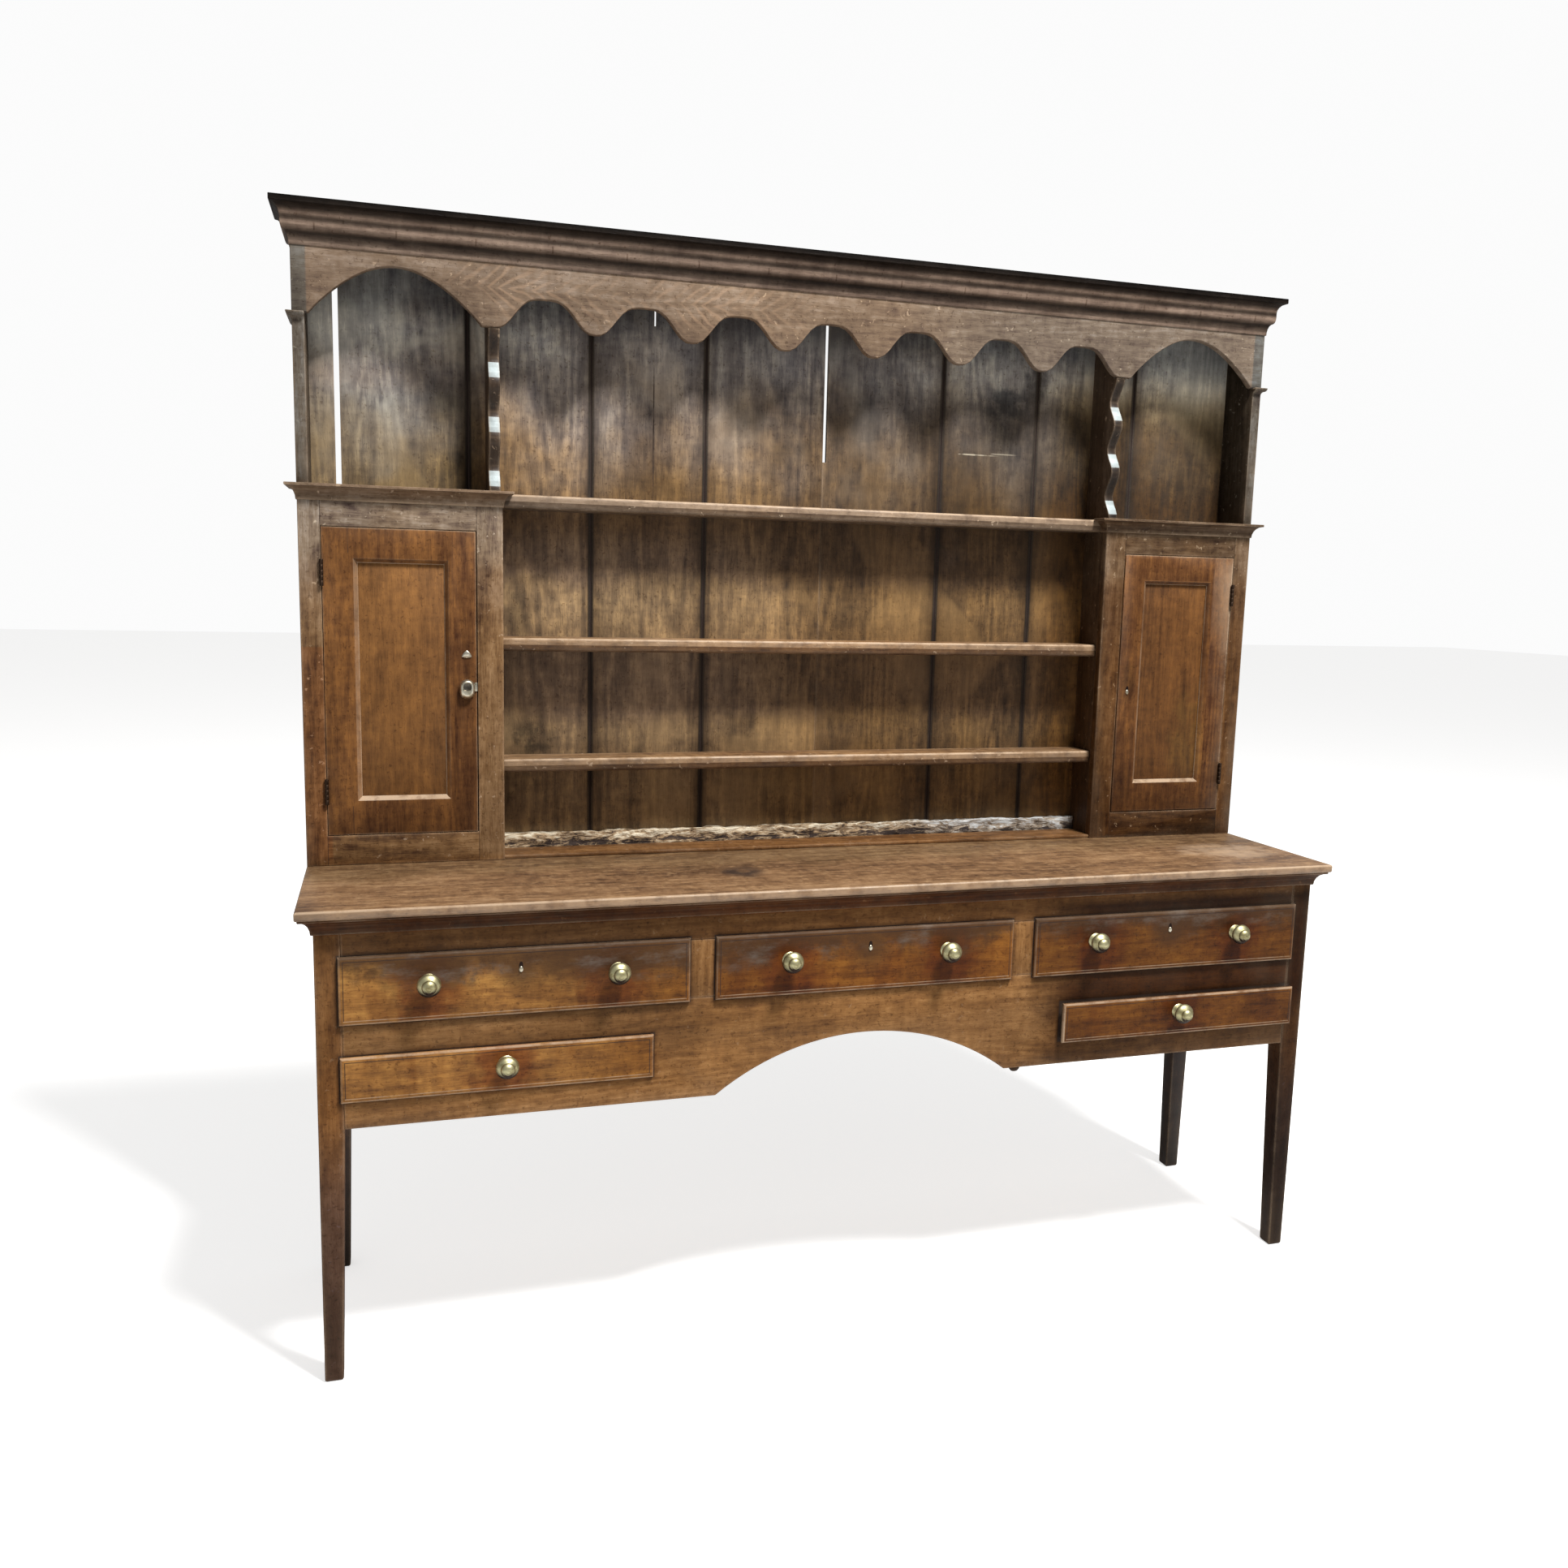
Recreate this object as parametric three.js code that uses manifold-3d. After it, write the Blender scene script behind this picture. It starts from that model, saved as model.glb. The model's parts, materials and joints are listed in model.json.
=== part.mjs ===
// A Georgian oak dresser. Its base has three upper and two lower drawers on four tapered legs.
// A plate rack stands on it, with three shelves, two small cupboards, a scalloped frieze
// and a moulded cornice.
// Millimetres. +Z is up, the front faces -Y, and +X is to the right of someone facing it.
import * as THREE from "three";
import { mergeVertices } from "three/addons/utils/BufferGeometryUtils.js";
import Module from "manifold-3d";

const wasm = await Module();
wasm.setup();

// Base: the top board, the moulding under it and how far it oversails the frame
const topWidth = 2000;
const topDepth = 465;
const topThickness = 16;
const topEase = 2;
const baseHeight = 840;
const frontOverhang = 28;
const endOverhang = 27;
const backOverhang = 15;
const baseMouldingHeight = 30;
const baseMouldingReveal = 4;
const baseMouldingFillet = 4;

// Legs
const legSize = 42;
const footSize = 31;
const footWear = 3;

// Front of the frame, from the top board down
const frameThickness = 22;
const topRailHeight = 74;
const upperOpeningHeight = 107;
const middleRailHeight = 66;
const lowerOpeningHeight = 69;
const bottomRailHeight = 53;
const centreOpeningWidth = 578;
const muntinWidth = 57;
const lowerOpeningWidth = 520;
const archWidth = 580;
const archRise = 98;
const archSteps = 32;

// Ends and back of the frame
const endApronThickness = 18;
const endApronSetback = 4;
const backBoardThickness = 15;
const backBoardHeight = 354;

// Bearers that carry the drawers, and the guides on them
const bearerThickness = 18;
const guideHeight = 20;
const guidePlay = 1;
const lowerBearerLanding = 22;

// Drawers
const drawerLip = 5;
const lipThickness = 8;
const thumbnailWidth = 7;
const thumbnailSteps = 3;
const frontBoardThickness = 22;
const drawerPlay = 1.5;
const drawerLift = 0.5;
const drawerHeadroom = 4;
const drawerBackClearance = 53;
const drawerSideThickness = 9;
const drawerBottomThickness = 7;
const drawerBackDrop = 12;
const sideKnobSpacing = 320;
const centreKnobSpacing = 312;
const lowerRightDrawerStandsOut = 10;
const outerKnobsInwards = 7;
const knobsAboveMiddle = 8.5;

// Drawer knobs
const knobRadius = 20;
const knobNeckRadius = 8;
const knobRoseRadius = 15;
const knobRoseThickness = 4;
const knobNeckLength = 8;
const knobHeadLength = 27;
const knobSides = 16;
const knobHeadSteps = 8;

// Rack: how far it stands in from the top board's ends and back edge, and its boards
const rackEndInset = 1;
const rackBackInset = 5;
const rackDepth = 100;
const rackHeight = 1181;
const backboardThickness = 10;
const endBoardThickness = 21;
const uprightThickness = 21;
const roofThickness = 16;

// Cornice, from its top member down
const corniceProjection = 31;
const corniceFasciaHeight = 10;
const corniceCoveHeight = 18;
const corniceStepProjection = 15;
const corniceStepHeight = 9;
const corniceBeadHeight = 14;
const corniceBeadProjection = 10;
const corniceFootHeight = 23;
const corniceFootFillet = 2;

// Frieze board and its scalloped lower edge
const friezeThickness = 16;
const friezeFootDrop = 186;
const smallArchCount = 7;
const smallArchRise = 56;
const smallArchSteps = 18;
const smallArchBreadth = 2;
const smallArchSharpness = 1.4;
const cuspFlat = 22;
const endArchRise = 90;
const endArchSteps = 28;
const endArchBreadth = 1;
const endArchSharpness = 0.45;
const endArchFoot = 27;

// Capitals on the front corners of the end boards
const capitalHeight = 15;
const capitalProjection = 10;
const capitalWeld = 2;

// Scalloped dividers above the cupboards
const dividerWaves = 3;
const dividerWaveDepth = 23;
const dividerSetback = 2;
const dividerWaveSteps = 10;

// Shelves: the top one is just below the cupboards' tops, and the heights of the others
// are of their upper faces above the top board
const shelfThickness = 26;
const shelfSetback = 24;
const shelfNose = 6;
const shelfNoseSteps = 4;
const topShelfDrop = 2;
const middleShelfHeight = 428;
const bottomShelfHeight = 193;
const footRailHeight = 36;
const footRailThickness = 20;

// Backboards: where the joints fall, as shares of half the rack's width
const backboardSeamShares = [-0.695, -0.459, -0.229, 0.286, 0.509, 0.745];
const seamWidth = 3;
const seamDepth = 2;
const leftGapShare = -0.931;
const leftGapWidth = 10;
const centreGapShare = 0.025;
const centreGapWidth = 8;
const centreGapHeight = 795;

// Cupboards, which reach from the rack's ends to the ends of the shelves
const cupboardWidth = 358;
const cupboardHeight = 700;
const cupboardFrameThickness = 20;
const cupboardFrameLap = 3;
const cupboardOuterStile = 38;
const cupboardInnerStile = 48;
const cupboardBottomRail = 57;
const cupboardTopRail = 54;
const cupboardTopThickness = 20;
const cupboardMouldingHeight = 29;
const cupboardMouldingProjection = 20;
const cupboardMouldingNose = 5;

// Cupboard doors
const doorGap = 1.2;
const doorFreeGap = 2;
const doorThickness = 20;
const doorHingeStile = 54;
const doorFreeStile = 50;
const doorTopRail = 55;
const doorBottomRail = 64;
const doorMouldingWidth = 8;
const doorMouldingDepth = 8;
const panelRebate = 9;
const panelThickness = 8;
const fitGap = 0.3;

// Door hinges
const hingeHeight = 48;
const hingeFromDoorEnd = 82;
const hingeLeafThickness = 0.8;
const hingeLeafWidth = 17;
const hingeKnuckleRadius = 3.5;
const hingeKnuckleStandoff = 4;
const hingeSides = 12;

// Turn catch on the left door
const catchHeight = 336;
const catchFromDoorEdge = 18;
const catchKnobRadius = 13;
const catchKnobProjection = 14;
const catchDishRadius = 6;
const catchDishDepth = 3;
const catchSpindleRadius = 3;
const catchTongueLength = 31;
const catchTongueWidth = 8;
const catchTongueThickness = 3;
const catchTonguePlay = 0.6;
const catchSides = 16;

// One cutting overrun serves every cut
const overrun = 5;

// Coves and rounded mouldings are drawn with this many steps
const coveSteps = 5;

// Heights above the floor
const underTop = baseHeight - topThickness;
const upperOpeningTop = underTop - topRailHeight;
const upperOpeningBottom = upperOpeningTop - upperOpeningHeight;
const lowerOpeningTop = upperOpeningBottom - middleRailHeight;
const lowerOpeningBottom = lowerOpeningTop - lowerOpeningHeight;
const apronBottom = lowerOpeningBottom - bottomRailHeight;
const rackTop = baseHeight + rackHeight;
const roofUnderside = rackTop - roofThickness;
const cupboardTop = baseHeight + cupboardHeight;
const cupboardFrameTop = cupboardTop - cupboardTopThickness;
const doorOpeningBottom = baseHeight + cupboardBottomRail;
const doorOpeningTop = cupboardFrameTop - cupboardTopRail;
const friezeFoot = rackTop - friezeFootDrop;

// Distances from the middle of the dresser
const frameHalf = topWidth / 2 - endOverhang;
const legInner = frameHalf - legSize;
const endApronInner = frameHalf - endApronSetback - endApronThickness;
const centreOpeningHalf = centreOpeningWidth / 2;
const sideOpeningInner = centreOpeningHalf + muntinWidth;
const lowerOpeningInner = legInner - lowerOpeningWidth;
const rackHalf = topWidth / 2 - rackEndInset;
const endBoardInner = rackHalf - endBoardThickness;
const shelfHalf = rackHalf - cupboardWidth;
const uprightOuter = shelfHalf + uprightThickness;
const uprightMiddle = shelfHalf + uprightThickness / 2;
const cupboardInner = shelfHalf - cupboardFrameLap;
const doorOpeningOuter = rackHalf - cupboardOuterStile;
const doorOpeningInner = cupboardInner + cupboardInnerStile;

// Distances back from the front edge of the top board
const framePlane = frontOverhang;
const frameBack = framePlane + frameThickness;
const rearPlane = topDepth - backOverhang;
const backBoardFront = rearPlane - backBoardThickness;
const rackBack = topDepth - rackBackInset - backboardThickness;
const rackFront = rackBack - rackDepth;
const cupboardFrameBack = rackFront + cupboardFrameThickness;
const friezeBack = rackFront + friezeThickness;
const drawerFace = framePlane - lipThickness - fitGap;
const drawerFrontBack = drawerFace + frontBoardThickness;
const drawerLength = backBoardFront - drawerBackClearance - drawerFrontBack;
const knobProjection = knobRoseThickness + knobNeckLength + knobHeadLength;
const standsOutMost = Math.max(0, lowerRightDrawerStandsOut);
const frontmost = Math.min(0, drawerFace - standsOutMost - knobProjection);

// Corners closer than this are one corner
const mergeDistance = 0.001;

// Finishes, as colour, roughness and metalness
const agedOak = { color: 0x5a3a22, roughness: 0.55, metalness: 0 };
const darkOak = { color: 0x2c1a11, roughness: 0.5, metalness: 0 };
const warmOak = { color: 0x6f4022, roughness: 0.45, metalness: 0 };
const backOak = { color: 0x4f3a26, roughness: 0.75, metalness: 0 };
const rawOak = { color: 0x8a6a48, roughness: 0.85, metalness: 0 };
const wornRail = { color: 0x9a8470, roughness: 0.9, metalness: 0 };
const oldBrass = { color: 0xa8945a, roughness: 0.35, metalness: 1 };
const ironwork = { color: 0x2b2622, roughness: 0.6, metalness: 1 };

// The pieces stand in the maker's frame, where Y is 0 at the front edge of the top board.
// This group carries them to the part's frame, whose origin is below the middle.
const pieces = new THREE.Group();
pieces.position.y = -(frontmost + topDepth) / 2;

function add(name, geometry, finish) {
  geometry.computeVertexNormals();
  const mesh = new THREE.Mesh(geometry, new THREE.MeshStandardMaterial(finish));
  mesh.name = name;
  pieces.add(mesh);
}

// A geometry with shared corners, no flat triangles and its faces outwards.
function closed(geometry) {
  const loose = geometry.index ? geometry.toNonIndexed() : geometry;
  const bare = new THREE.BufferGeometry();
  bare.setAttribute("position", loose.getAttribute("position"));
  const merged = mergeVertices(bare, mergeDistance);
  const corner = (i) => new THREE.Vector3().fromBufferAttribute(merged.attributes.position, i);
  const index = merged.index.array;
  const kept = [];
  let volume = 0;
  for (let i = 0; i < index.length; i += 3) {
    const [a, b, c] = [index[i], index[i + 1], index[i + 2]];
    if (a === b || b === c || c === a) continue;
    kept.push(a, b, c);
    volume += corner(a).dot(corner(b).cross(corner(c)));
  }
  merged.setIndex(volume < 0 ? kept.reverse() : kept);
  return merged;
}

function toManifold(geometry) {
  const shape = closed(geometry);
  return new wasm.Manifold(
    new wasm.Mesh({
      numProp: 3,
      vertProperties: shape.attributes.position.array,
      triVerts: new Uint32Array(shape.index.array),
    }),
  );
}

function fromManifold(solid) {
  const made = solid.getMesh();
  const geometry = new THREE.BufferGeometry();
  geometry.setAttribute("position", new THREE.BufferAttribute(made.vertProperties, 3));
  geometry.setIndex(new THREE.BufferAttribute(made.triVerts, 1));
  return geometry;
}

function join(first, ...others) {
  const start = toManifold(first);
  return fromManifold(others.reduce((solid, other) => solid.add(toManifold(other)), start));
}

function cut(first, ...others) {
  const start = toManifold(first);
  return fromManifold(others.reduce((solid, other) => solid.subtract(toManifold(other)), start));
}

// A board between two planes on each axis.
function board([x0, x1], [y0, y1], [z0, z1]) {
  const geometry = new THREE.BoxGeometry(x1 - x0, y1 - y0, z1 - z0);
  return geometry.translate((x0 + x1) / 2, (y0 + y1) / 2, (z0 + z1) / 2);
}

// An outline extruded between two planes. The axes say where the outline's own two axes
// and the extrusion point.
function extruded(outline, depth, axes) {
  const shape = new THREE.Shape(outline.map(([a, b]) => new THREE.Vector2(a, b)));
  const geometry = new THREE.ExtrudeGeometry(shape, { depth, bevelEnabled: false });
  return geometry.applyMatrix4(new THREE.Matrix4().makeBasis(...axes));
}

const xAxis = new THREE.Vector3(1, 0, 0);
const yAxis = new THREE.Vector3(0, 1, 0);
const zAxis = new THREE.Vector3(0, 0, 1);
const forwards = new THREE.Vector3(0, -1, 0);

// The outline is seen from the front, as (x, z).
function frontBoard(outline, [y0, y1]) {
  return extruded(outline, y1 - y0, [xAxis, zAxis, forwards]).translate(0, y1, 0);
}

// The outline is seen from the right-hand end, as (y, z).
function endBoard(outline, [x0, x1]) {
  return extruded(outline, x1 - x0, [yAxis, zAxis, xAxis]).translate(x0, 0, 0);
}

// The outline is seen from above, as (x, y).
function planBoard(outline, [z0, z1]) {
  return extruded(outline, z1 - z0, [xAxis, yAxis, zAxis]).translate(0, 0, z0);
}

// A solid skinned over rings of corners, all with the same number of corners.
function skinned(rings, capFaces) {
  const count = rings[0].length;
  const positions = new Float32Array(rings.flat(2));
  const index = [];
  for (let r = 0; r + 1 < rings.length; r++) {
    for (let i = 0; i < count; i++) {
      const a = r * count + i;
      const b = r * count + ((i + 1) % count);
      index.push(a, b, b + count, a, b + count, a + count);
    }
  }
  const last = (rings.length - 1) * count;
  for (const [a, b, c] of capFaces) {
    index.push(a, c, b);
    index.push(last + a, last + b, last + c);
  }
  const geometry = new THREE.BufferGeometry();
  geometry.setAttribute("position", new THREE.BufferAttribute(positions, 3));
  geometry.setIndex(index);
  return closed(geometry);
}

const fourSided = [
  [0, 1, 2],
  [0, 2, 3],
];

// A moulding run round mitred corners. The profile is (outwards, height). Each stop on the
// route is where the wall's corner is and which way the mitre points.
function mitred(profile, route) {
  const flat = profile.map(([out, height]) => new THREE.Vector2(out, height));
  const capFaces = THREE.ShapeUtils.triangulateShape(flat, []);
  const rings = route.map(({ x, y, outX, outY }) =>
    profile.map(([out, height]) => [x + out * outX, y + out * outY, height]),
  );
  return skinned(rings, capFaces);
}

// The route of a moulding that returns along both sides of a case.
function threeSides([x0, x1], front, backOfFirst, backOfLast) {
  return [
    { x: x0, y: backOfFirst, outX: -1, outY: 0 },
    { x: x0, y: front, outX: -1, outY: -1 },
    { x: x1, y: front, outX: 1, outY: -1 },
    { x: x1, y: backOfLast, outX: 1, outY: 0 },
  ];
}

// A hollow quarter curve that leaves the wall upright and ends level, and a round one
// that leaves the wall level and ends upright.
function curve([out0, z0], [out1, z1], isHollow) {
  const points = [];
  for (let i = 0; i <= coveSteps; i++) {
    const turn = (i / coveSteps) * (Math.PI / 2);
    const outShare = isHollow ? 1 - Math.cos(turn) : Math.sin(turn);
    const upShare = isHollow ? Math.sin(turn) : 1 - Math.cos(turn);
    points.push([out0 + (out1 - out0) * outShare, z0 + (z1 - z0) * upShare]);
  }
  return points;
}

// A piece made for the right-hand end, or its mirror image for the left-hand end.
function handed(side, geometry) {
  return side > 0 ? geometry : closed(geometry.clone().scale(-1, 1, 1));
}

// A turned piece whose axis points out of the front. The profile is (radius, projection).
function turned(profile, sides, x, y, z) {
  const points = profile.map(([radius, along]) => new THREE.Vector2(radius, along));
  const geometry = new THREE.LatheGeometry(points, sides).rotateX(Math.PI);
  return closed(geometry.translate(x, y, z));
}

const ends = [
  ["left", -1],
  ["right", 1],
];

// Base frame

function addTopBoard() {
  const outline = [
    [-topWidth / 2 + topEase, topEase],
    [topWidth / 2 - topEase, topEase],
    [topWidth / 2 - topEase, topDepth - topEase],
    [-topWidth / 2 + topEase, topDepth - topEase],
  ];
  const shape = new THREE.Shape(outline.map(([x, y]) => new THREE.Vector2(x, y)));
  const geometry = new THREE.ExtrudeGeometry(shape, {
    depth: topThickness - 2 * topEase,
    bevelThickness: topEase,
    bevelSize: topEase,
    bevelSegments: 1,
  });
  add("base_top", closed(geometry.translate(0, 0, underTop + topEase)), agedOak);
}

function addBaseMoulding() {
  const bottom = underTop - baseMouldingHeight;
  const reach = endOverhang - baseMouldingReveal;
  const profile = [
    [0, bottom],
    ...curve([baseMouldingFillet, bottom], [reach, underTop - baseMouldingFillet], true),
    [reach, underTop],
    [0, underTop],
  ];
  const route = threeSides([-frameHalf, frameHalf], framePlane, rearPlane, rearPlane);
  add("base_moulding", mitred(profile, route), agedOak);
}

// A square leg whose two inner faces taper below the apron. Its outer corner is at
// (frameHalf, y), and the leg lies towards the middle and in the direction inY from there.
function leg(y, inY) {
  const section = (size, height, wear) => {
    const near = wear;
    const far = size - wear;
    const corners = [
      [near, near],
      [near, far],
      [far, far],
      [far, near],
    ];
    return corners.map(([a, b]) => [frameHalf - a, y + b * inY, height]);
  };
  const rings = [
    section(footSize, 0, footWear),
    section(footSize, footWear, 0),
    section(legSize, apronBottom, 0),
    section(legSize, underTop, 0),
  ];
  return skinned(rings, fourSided);
}

function addLegs() {
  for (const [end, side] of ends) {
    add(`leg_front_${end}`, handed(side, leg(framePlane, 1)), agedOak);
    add(`leg_rear_${end}`, handed(side, leg(rearPlane, -1)), darkOak);
  }
}

function addFrontFrame() {
  const depth = [framePlane, frameBack];
  const topRail = board([-legInner, legInner], depth, [upperOpeningTop, underTop]);
  add("front_top_rail", topRail, agedOak);
  for (const [end, side] of ends) {
    const across = [centreOpeningHalf, sideOpeningInner];
    const muntin = board(across, depth, [upperOpeningBottom, upperOpeningTop]);
    add(`muntin_${end}`, handed(side, muntin), agedOak);
  }
}

// The right-hand half of the apron's edge, from the middle of the arch round to the top.
function apronHalfOutline() {
  const half = archWidth / 2;
  const radius = (half * half + archRise * archRise) / (2 * archRise);
  const points = [];
  for (let i = 0; i <= archSteps / 2; i++) {
    const x = (i / (archSteps / 2)) * half;
    points.push([x, apronBottom + archRise - radius + Math.sqrt(radius * radius - x * x)]);
  }
  points.push([legInner, apronBottom]);
  points.push([legInner, lowerOpeningBottom]);
  points.push([lowerOpeningInner, lowerOpeningBottom]);
  points.push([lowerOpeningInner, lowerOpeningTop]);
  points.push([legInner, lowerOpeningTop]);
  points.push([legInner, upperOpeningBottom]);
  return points;
}

function addFrontApron() {
  const right = apronHalfOutline();
  const left = right.slice(1).reverse();
  const outline = [...right, ...left.map(([x, z]) => [-x, z])];
  add("front_apron", closed(frontBoard(outline, [framePlane, frameBack])), agedOak);
}

function addEndsAndBack() {
  const between = [framePlane + legSize, rearPlane - legSize];
  for (const [end, side] of ends) {
    const across = [endApronInner, endApronInner + endApronThickness];
    const apron = board(across, between, [apronBottom, underTop]);
    add(`end_apron_${end}`, handed(side, apron), agedOak);
  }
  const height = [underTop - backBoardHeight, underTop];
  add("base_back", board([-legInner, legInner], [backBoardFront, rearPlane], height), backOak);
}

// Drawer bearers

// The corners that a bearer leaves for the front and the rear leg at the right-hand end.
function legNotches(height) {
  const across = [legInner - fitGap, frameHalf + overrun];
  const clearFront = [framePlane, framePlane + legSize + fitGap];
  const clearRear = [rearPlane - legSize - fitGap, rearPlane + overrun];
  return [board(across, clearFront, height), board(across, clearRear, height)];
}

// The guide beside the outer side of a drawer, between the two legs.
function outerGuide(height) {
  const along = [framePlane + legSize + fitGap, rearPlane - legSize - fitGap];
  return board([legInner + guidePlay, endApronInner], along, height);
}

function addUpperBearer() {
  const depth = [frameBack, backBoardFront];
  const level = [upperOpeningBottom - bearerThickness, upperOpeningBottom];
  const cutLevel = [level[0] - overrun, level[1] + guideHeight + overrun];
  const guideLevel = [level[0], level[1] + guideHeight];
  const across = [centreOpeningHalf + guidePlay, sideOpeningInner - guidePlay];
  const rightGuides = [board(across, depth, guideLevel), outerGuide(guideLevel)];
  const guides = ends.flatMap(([, side]) => rightGuides.map((guide) => handed(side, guide)));
  const notches = ends.flatMap(([, side]) =>
    legNotches(cutLevel).map((notch) => handed(side, notch)),
  );
  const bearer = cut(board([-endApronInner, endApronInner], depth, level), ...notches);
  add("upper_drawer_bearer", join(bearer, ...guides), rawOak);
}

function addLowerBearers() {
  const depth = [frameBack, backBoardFront];
  const level = [lowerOpeningBottom - bearerThickness, lowerOpeningBottom];
  const cutLevel = [level[0] - overrun, level[1] + overrun];
  const guideLevel = [level[0], level[1] + guideHeight];
  const inner = lowerOpeningInner - lowerBearerLanding;
  const innerGuide = board([inner, lowerOpeningInner - guidePlay], depth, guideLevel);
  const plain = cut(board([inner, endApronInner], depth, level), ...legNotches(cutLevel));
  const bearer = join(plain, innerGuide, outerGuide(guideLevel));
  for (const [end, side] of ends) {
    add(`lower_drawer_bearer_${end}`, handed(side, bearer), rawOak);
  }
}

// Drawers

const sideOpeningMiddle = (sideOpeningInner + legInner) / 2;
const sideOpeningWidth = legInner - sideOpeningInner;
const lowerOpeningMiddle = legInner - lowerOpeningWidth / 2;

function upperDrawer(place, side, knobSpacing) {
  const middle = side * sideOpeningMiddle;
  const width = side === 0 ? centreOpeningWidth : sideOpeningWidth;
  const knobs = [-knobSpacing / 2, knobSpacing / 2].map((x) => x - side * outerKnobsInwards);
  const bottom = upperOpeningBottom;
  const height = upperOpeningHeight;
  return { name: `upper_${place}`, middle, width, bottom, height, knobs, standsOut: 0 };
}

function lowerDrawer(place, side, standsOut) {
  const middle = side * lowerOpeningMiddle;
  const width = lowerOpeningWidth;
  const bottom = lowerOpeningBottom;
  const height = lowerOpeningHeight;
  const knobs = [-side * outerKnobsInwards];
  return { name: `lower_${place}`, middle, width, bottom, height, knobs, standsOut };
}

const drawers = [
  upperDrawer("left", -1, sideKnobSpacing),
  upperDrawer("centre", 0, centreKnobSpacing),
  upperDrawer("right", 1, sideKnobSpacing),
  lowerDrawer("left", -1, 0),
  lowerDrawer("right", 1, lowerRightDrawerStandsOut),
];

// One upright rectangle of a drawer front, seen from the front.
function upright(drawer, side, below, above, y) {
  const x0 = drawer.middle - drawer.width / 2 + side;
  const x1 = drawer.middle + drawer.width / 2 - side;
  const z0 = drawer.bottom + below;
  const z1 = drawer.bottom + drawer.height - above;
  return [
    [x0, y, z0],
    [x1, y, z0],
    [x1, y, z1],
    [x0, y, z1],
  ];
}

// The front fills its opening and laps over it all round with a thumbnail-moulded lip.
function drawerFront(drawer, face) {
  const lipBack = face + lipThickness;
  const back = face + frontBoardThickness;
  const rings = [
    upright(drawer, drawerPlay, drawerLift, drawerPlay, back),
    upright(drawer, drawerPlay, drawerLift, drawerPlay, lipBack),
    upright(drawer, -drawerLip, -drawerLip, -drawerLip, lipBack),
  ];
  const round = lipThickness / 2;
  for (let i = 0; i <= thumbnailSteps; i++) {
    const turn = (i / thumbnailSteps) * (Math.PI / 2);
    const inset = thumbnailWidth * (1 - Math.cos(turn)) - drawerLip;
    rings.push(upright(drawer, inset, inset, inset, face + round * (1 - Math.sin(turn))));
  }
  return skinned(rings, fourSided);
}

function drawerTray(drawer, face) {
  const front = face + frontBoardThickness;
  const back = front + drawerLength;
  const x0 = drawer.middle - drawer.width / 2 + drawerPlay;
  const x1 = drawer.middle + drawer.width / 2 - drawerPlay;
  const floor = drawer.bottom + drawerLift;
  const rim = drawer.bottom + drawer.height - drawerHeadroom;
  const wall = drawerSideThickness;
  const hollow = board(
    [x0 + wall, x1 - wall],
    [front + wall, back - wall],
    [floor + drawerBottomThickness, rim + overrun],
  );
  const lowBack = board(
    [x0 + wall, x1 - wall],
    [back - wall - overrun, back + overrun],
    [rim - drawerBackDrop, rim + overrun],
  );
  return cut(board([x0, x1], [front, back], [floor, rim]), hollow, lowBack);
}

function knobProfile() {
  const headHalf = knobHeadLength / 2;
  const headMiddle = knobRoseThickness + knobNeckLength + headHalf;
  const firstTurn = Math.asin(knobNeckRadius / knobRadius);
  const profile = [
    [0, 0],
    [knobRoseRadius, 0],
    [knobRoseRadius, knobRoseThickness / 2],
    [knobNeckRadius, knobRoseThickness],
  ];
  for (let i = 0; i <= knobHeadSteps; i++) {
    const turn = firstTurn + (i / knobHeadSteps) * (Math.PI - firstTurn);
    const radius = i === knobHeadSteps ? 0 : knobRadius * Math.sin(turn);
    profile.push([radius, headMiddle - headHalf * Math.cos(turn)]);
  }
  return profile;
}

function addDrawers() {
  for (const drawer of drawers) {
    const face = drawerFace - drawer.standsOut;
    add(`drawer_front_${drawer.name}`, drawerFront(drawer, face), warmOak);
    add(`drawer_tray_${drawer.name}`, drawerTray(drawer, face), rawOak);
    const height = drawer.bottom + drawer.height / 2 + knobsAboveMiddle;
    drawer.knobs.forEach((offset, i) => {
      const number = drawer.knobs.length > 1 ? `_${i + 1}` : "";
      const x = drawer.middle + offset;
      const knob = turned(knobProfile(), knobSides, x, face, height);
      add(`drawer_knob_${drawer.name}${number}`, knob, oldBrass);
    });
  }
}

// Rack

function addCornice() {
  const bead = rackTop - corniceFasciaHeight - corniceCoveHeight - corniceStepHeight;
  const foot = bead - corniceBeadHeight - corniceFootHeight;
  const step = bead + corniceStepHeight;
  const fascia = step + corniceCoveHeight;
  const profile = [
    [0, foot],
    ...curve([corniceFootFillet, foot], [corniceBeadProjection, foot + corniceFootHeight], true),
    ...curve([corniceBeadProjection, bead - corniceBeadHeight], [corniceStepProjection, bead], false),
    [corniceStepProjection, step],
    ...curve([corniceStepProjection, step], [corniceProjection, fascia], true),
    [corniceProjection, rackTop],
    [0, rackTop],
  ].filter(([out, z], i, all) => i === 0 || out !== all[i - 1][0] || z !== all[i - 1][1]);
  const back = rackBack + backboardThickness;
  add("cornice", mitred(profile, threeSides([-rackHalf, rackHalf], rackFront, back, back)), darkOak);
}

// How far an arch has risen, from 0 at its foot to 1 at its crown, part of the way across.
// More breadth makes a flatter crown, and more sharpness makes a narrower arch.
function archShare(across, breadth, sharpness) {
  const fallen = Math.pow(Math.cos(Math.PI * across), 2);
  return Math.pow(1 - Math.pow(fallen, breadth), sharpness);
}

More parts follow.
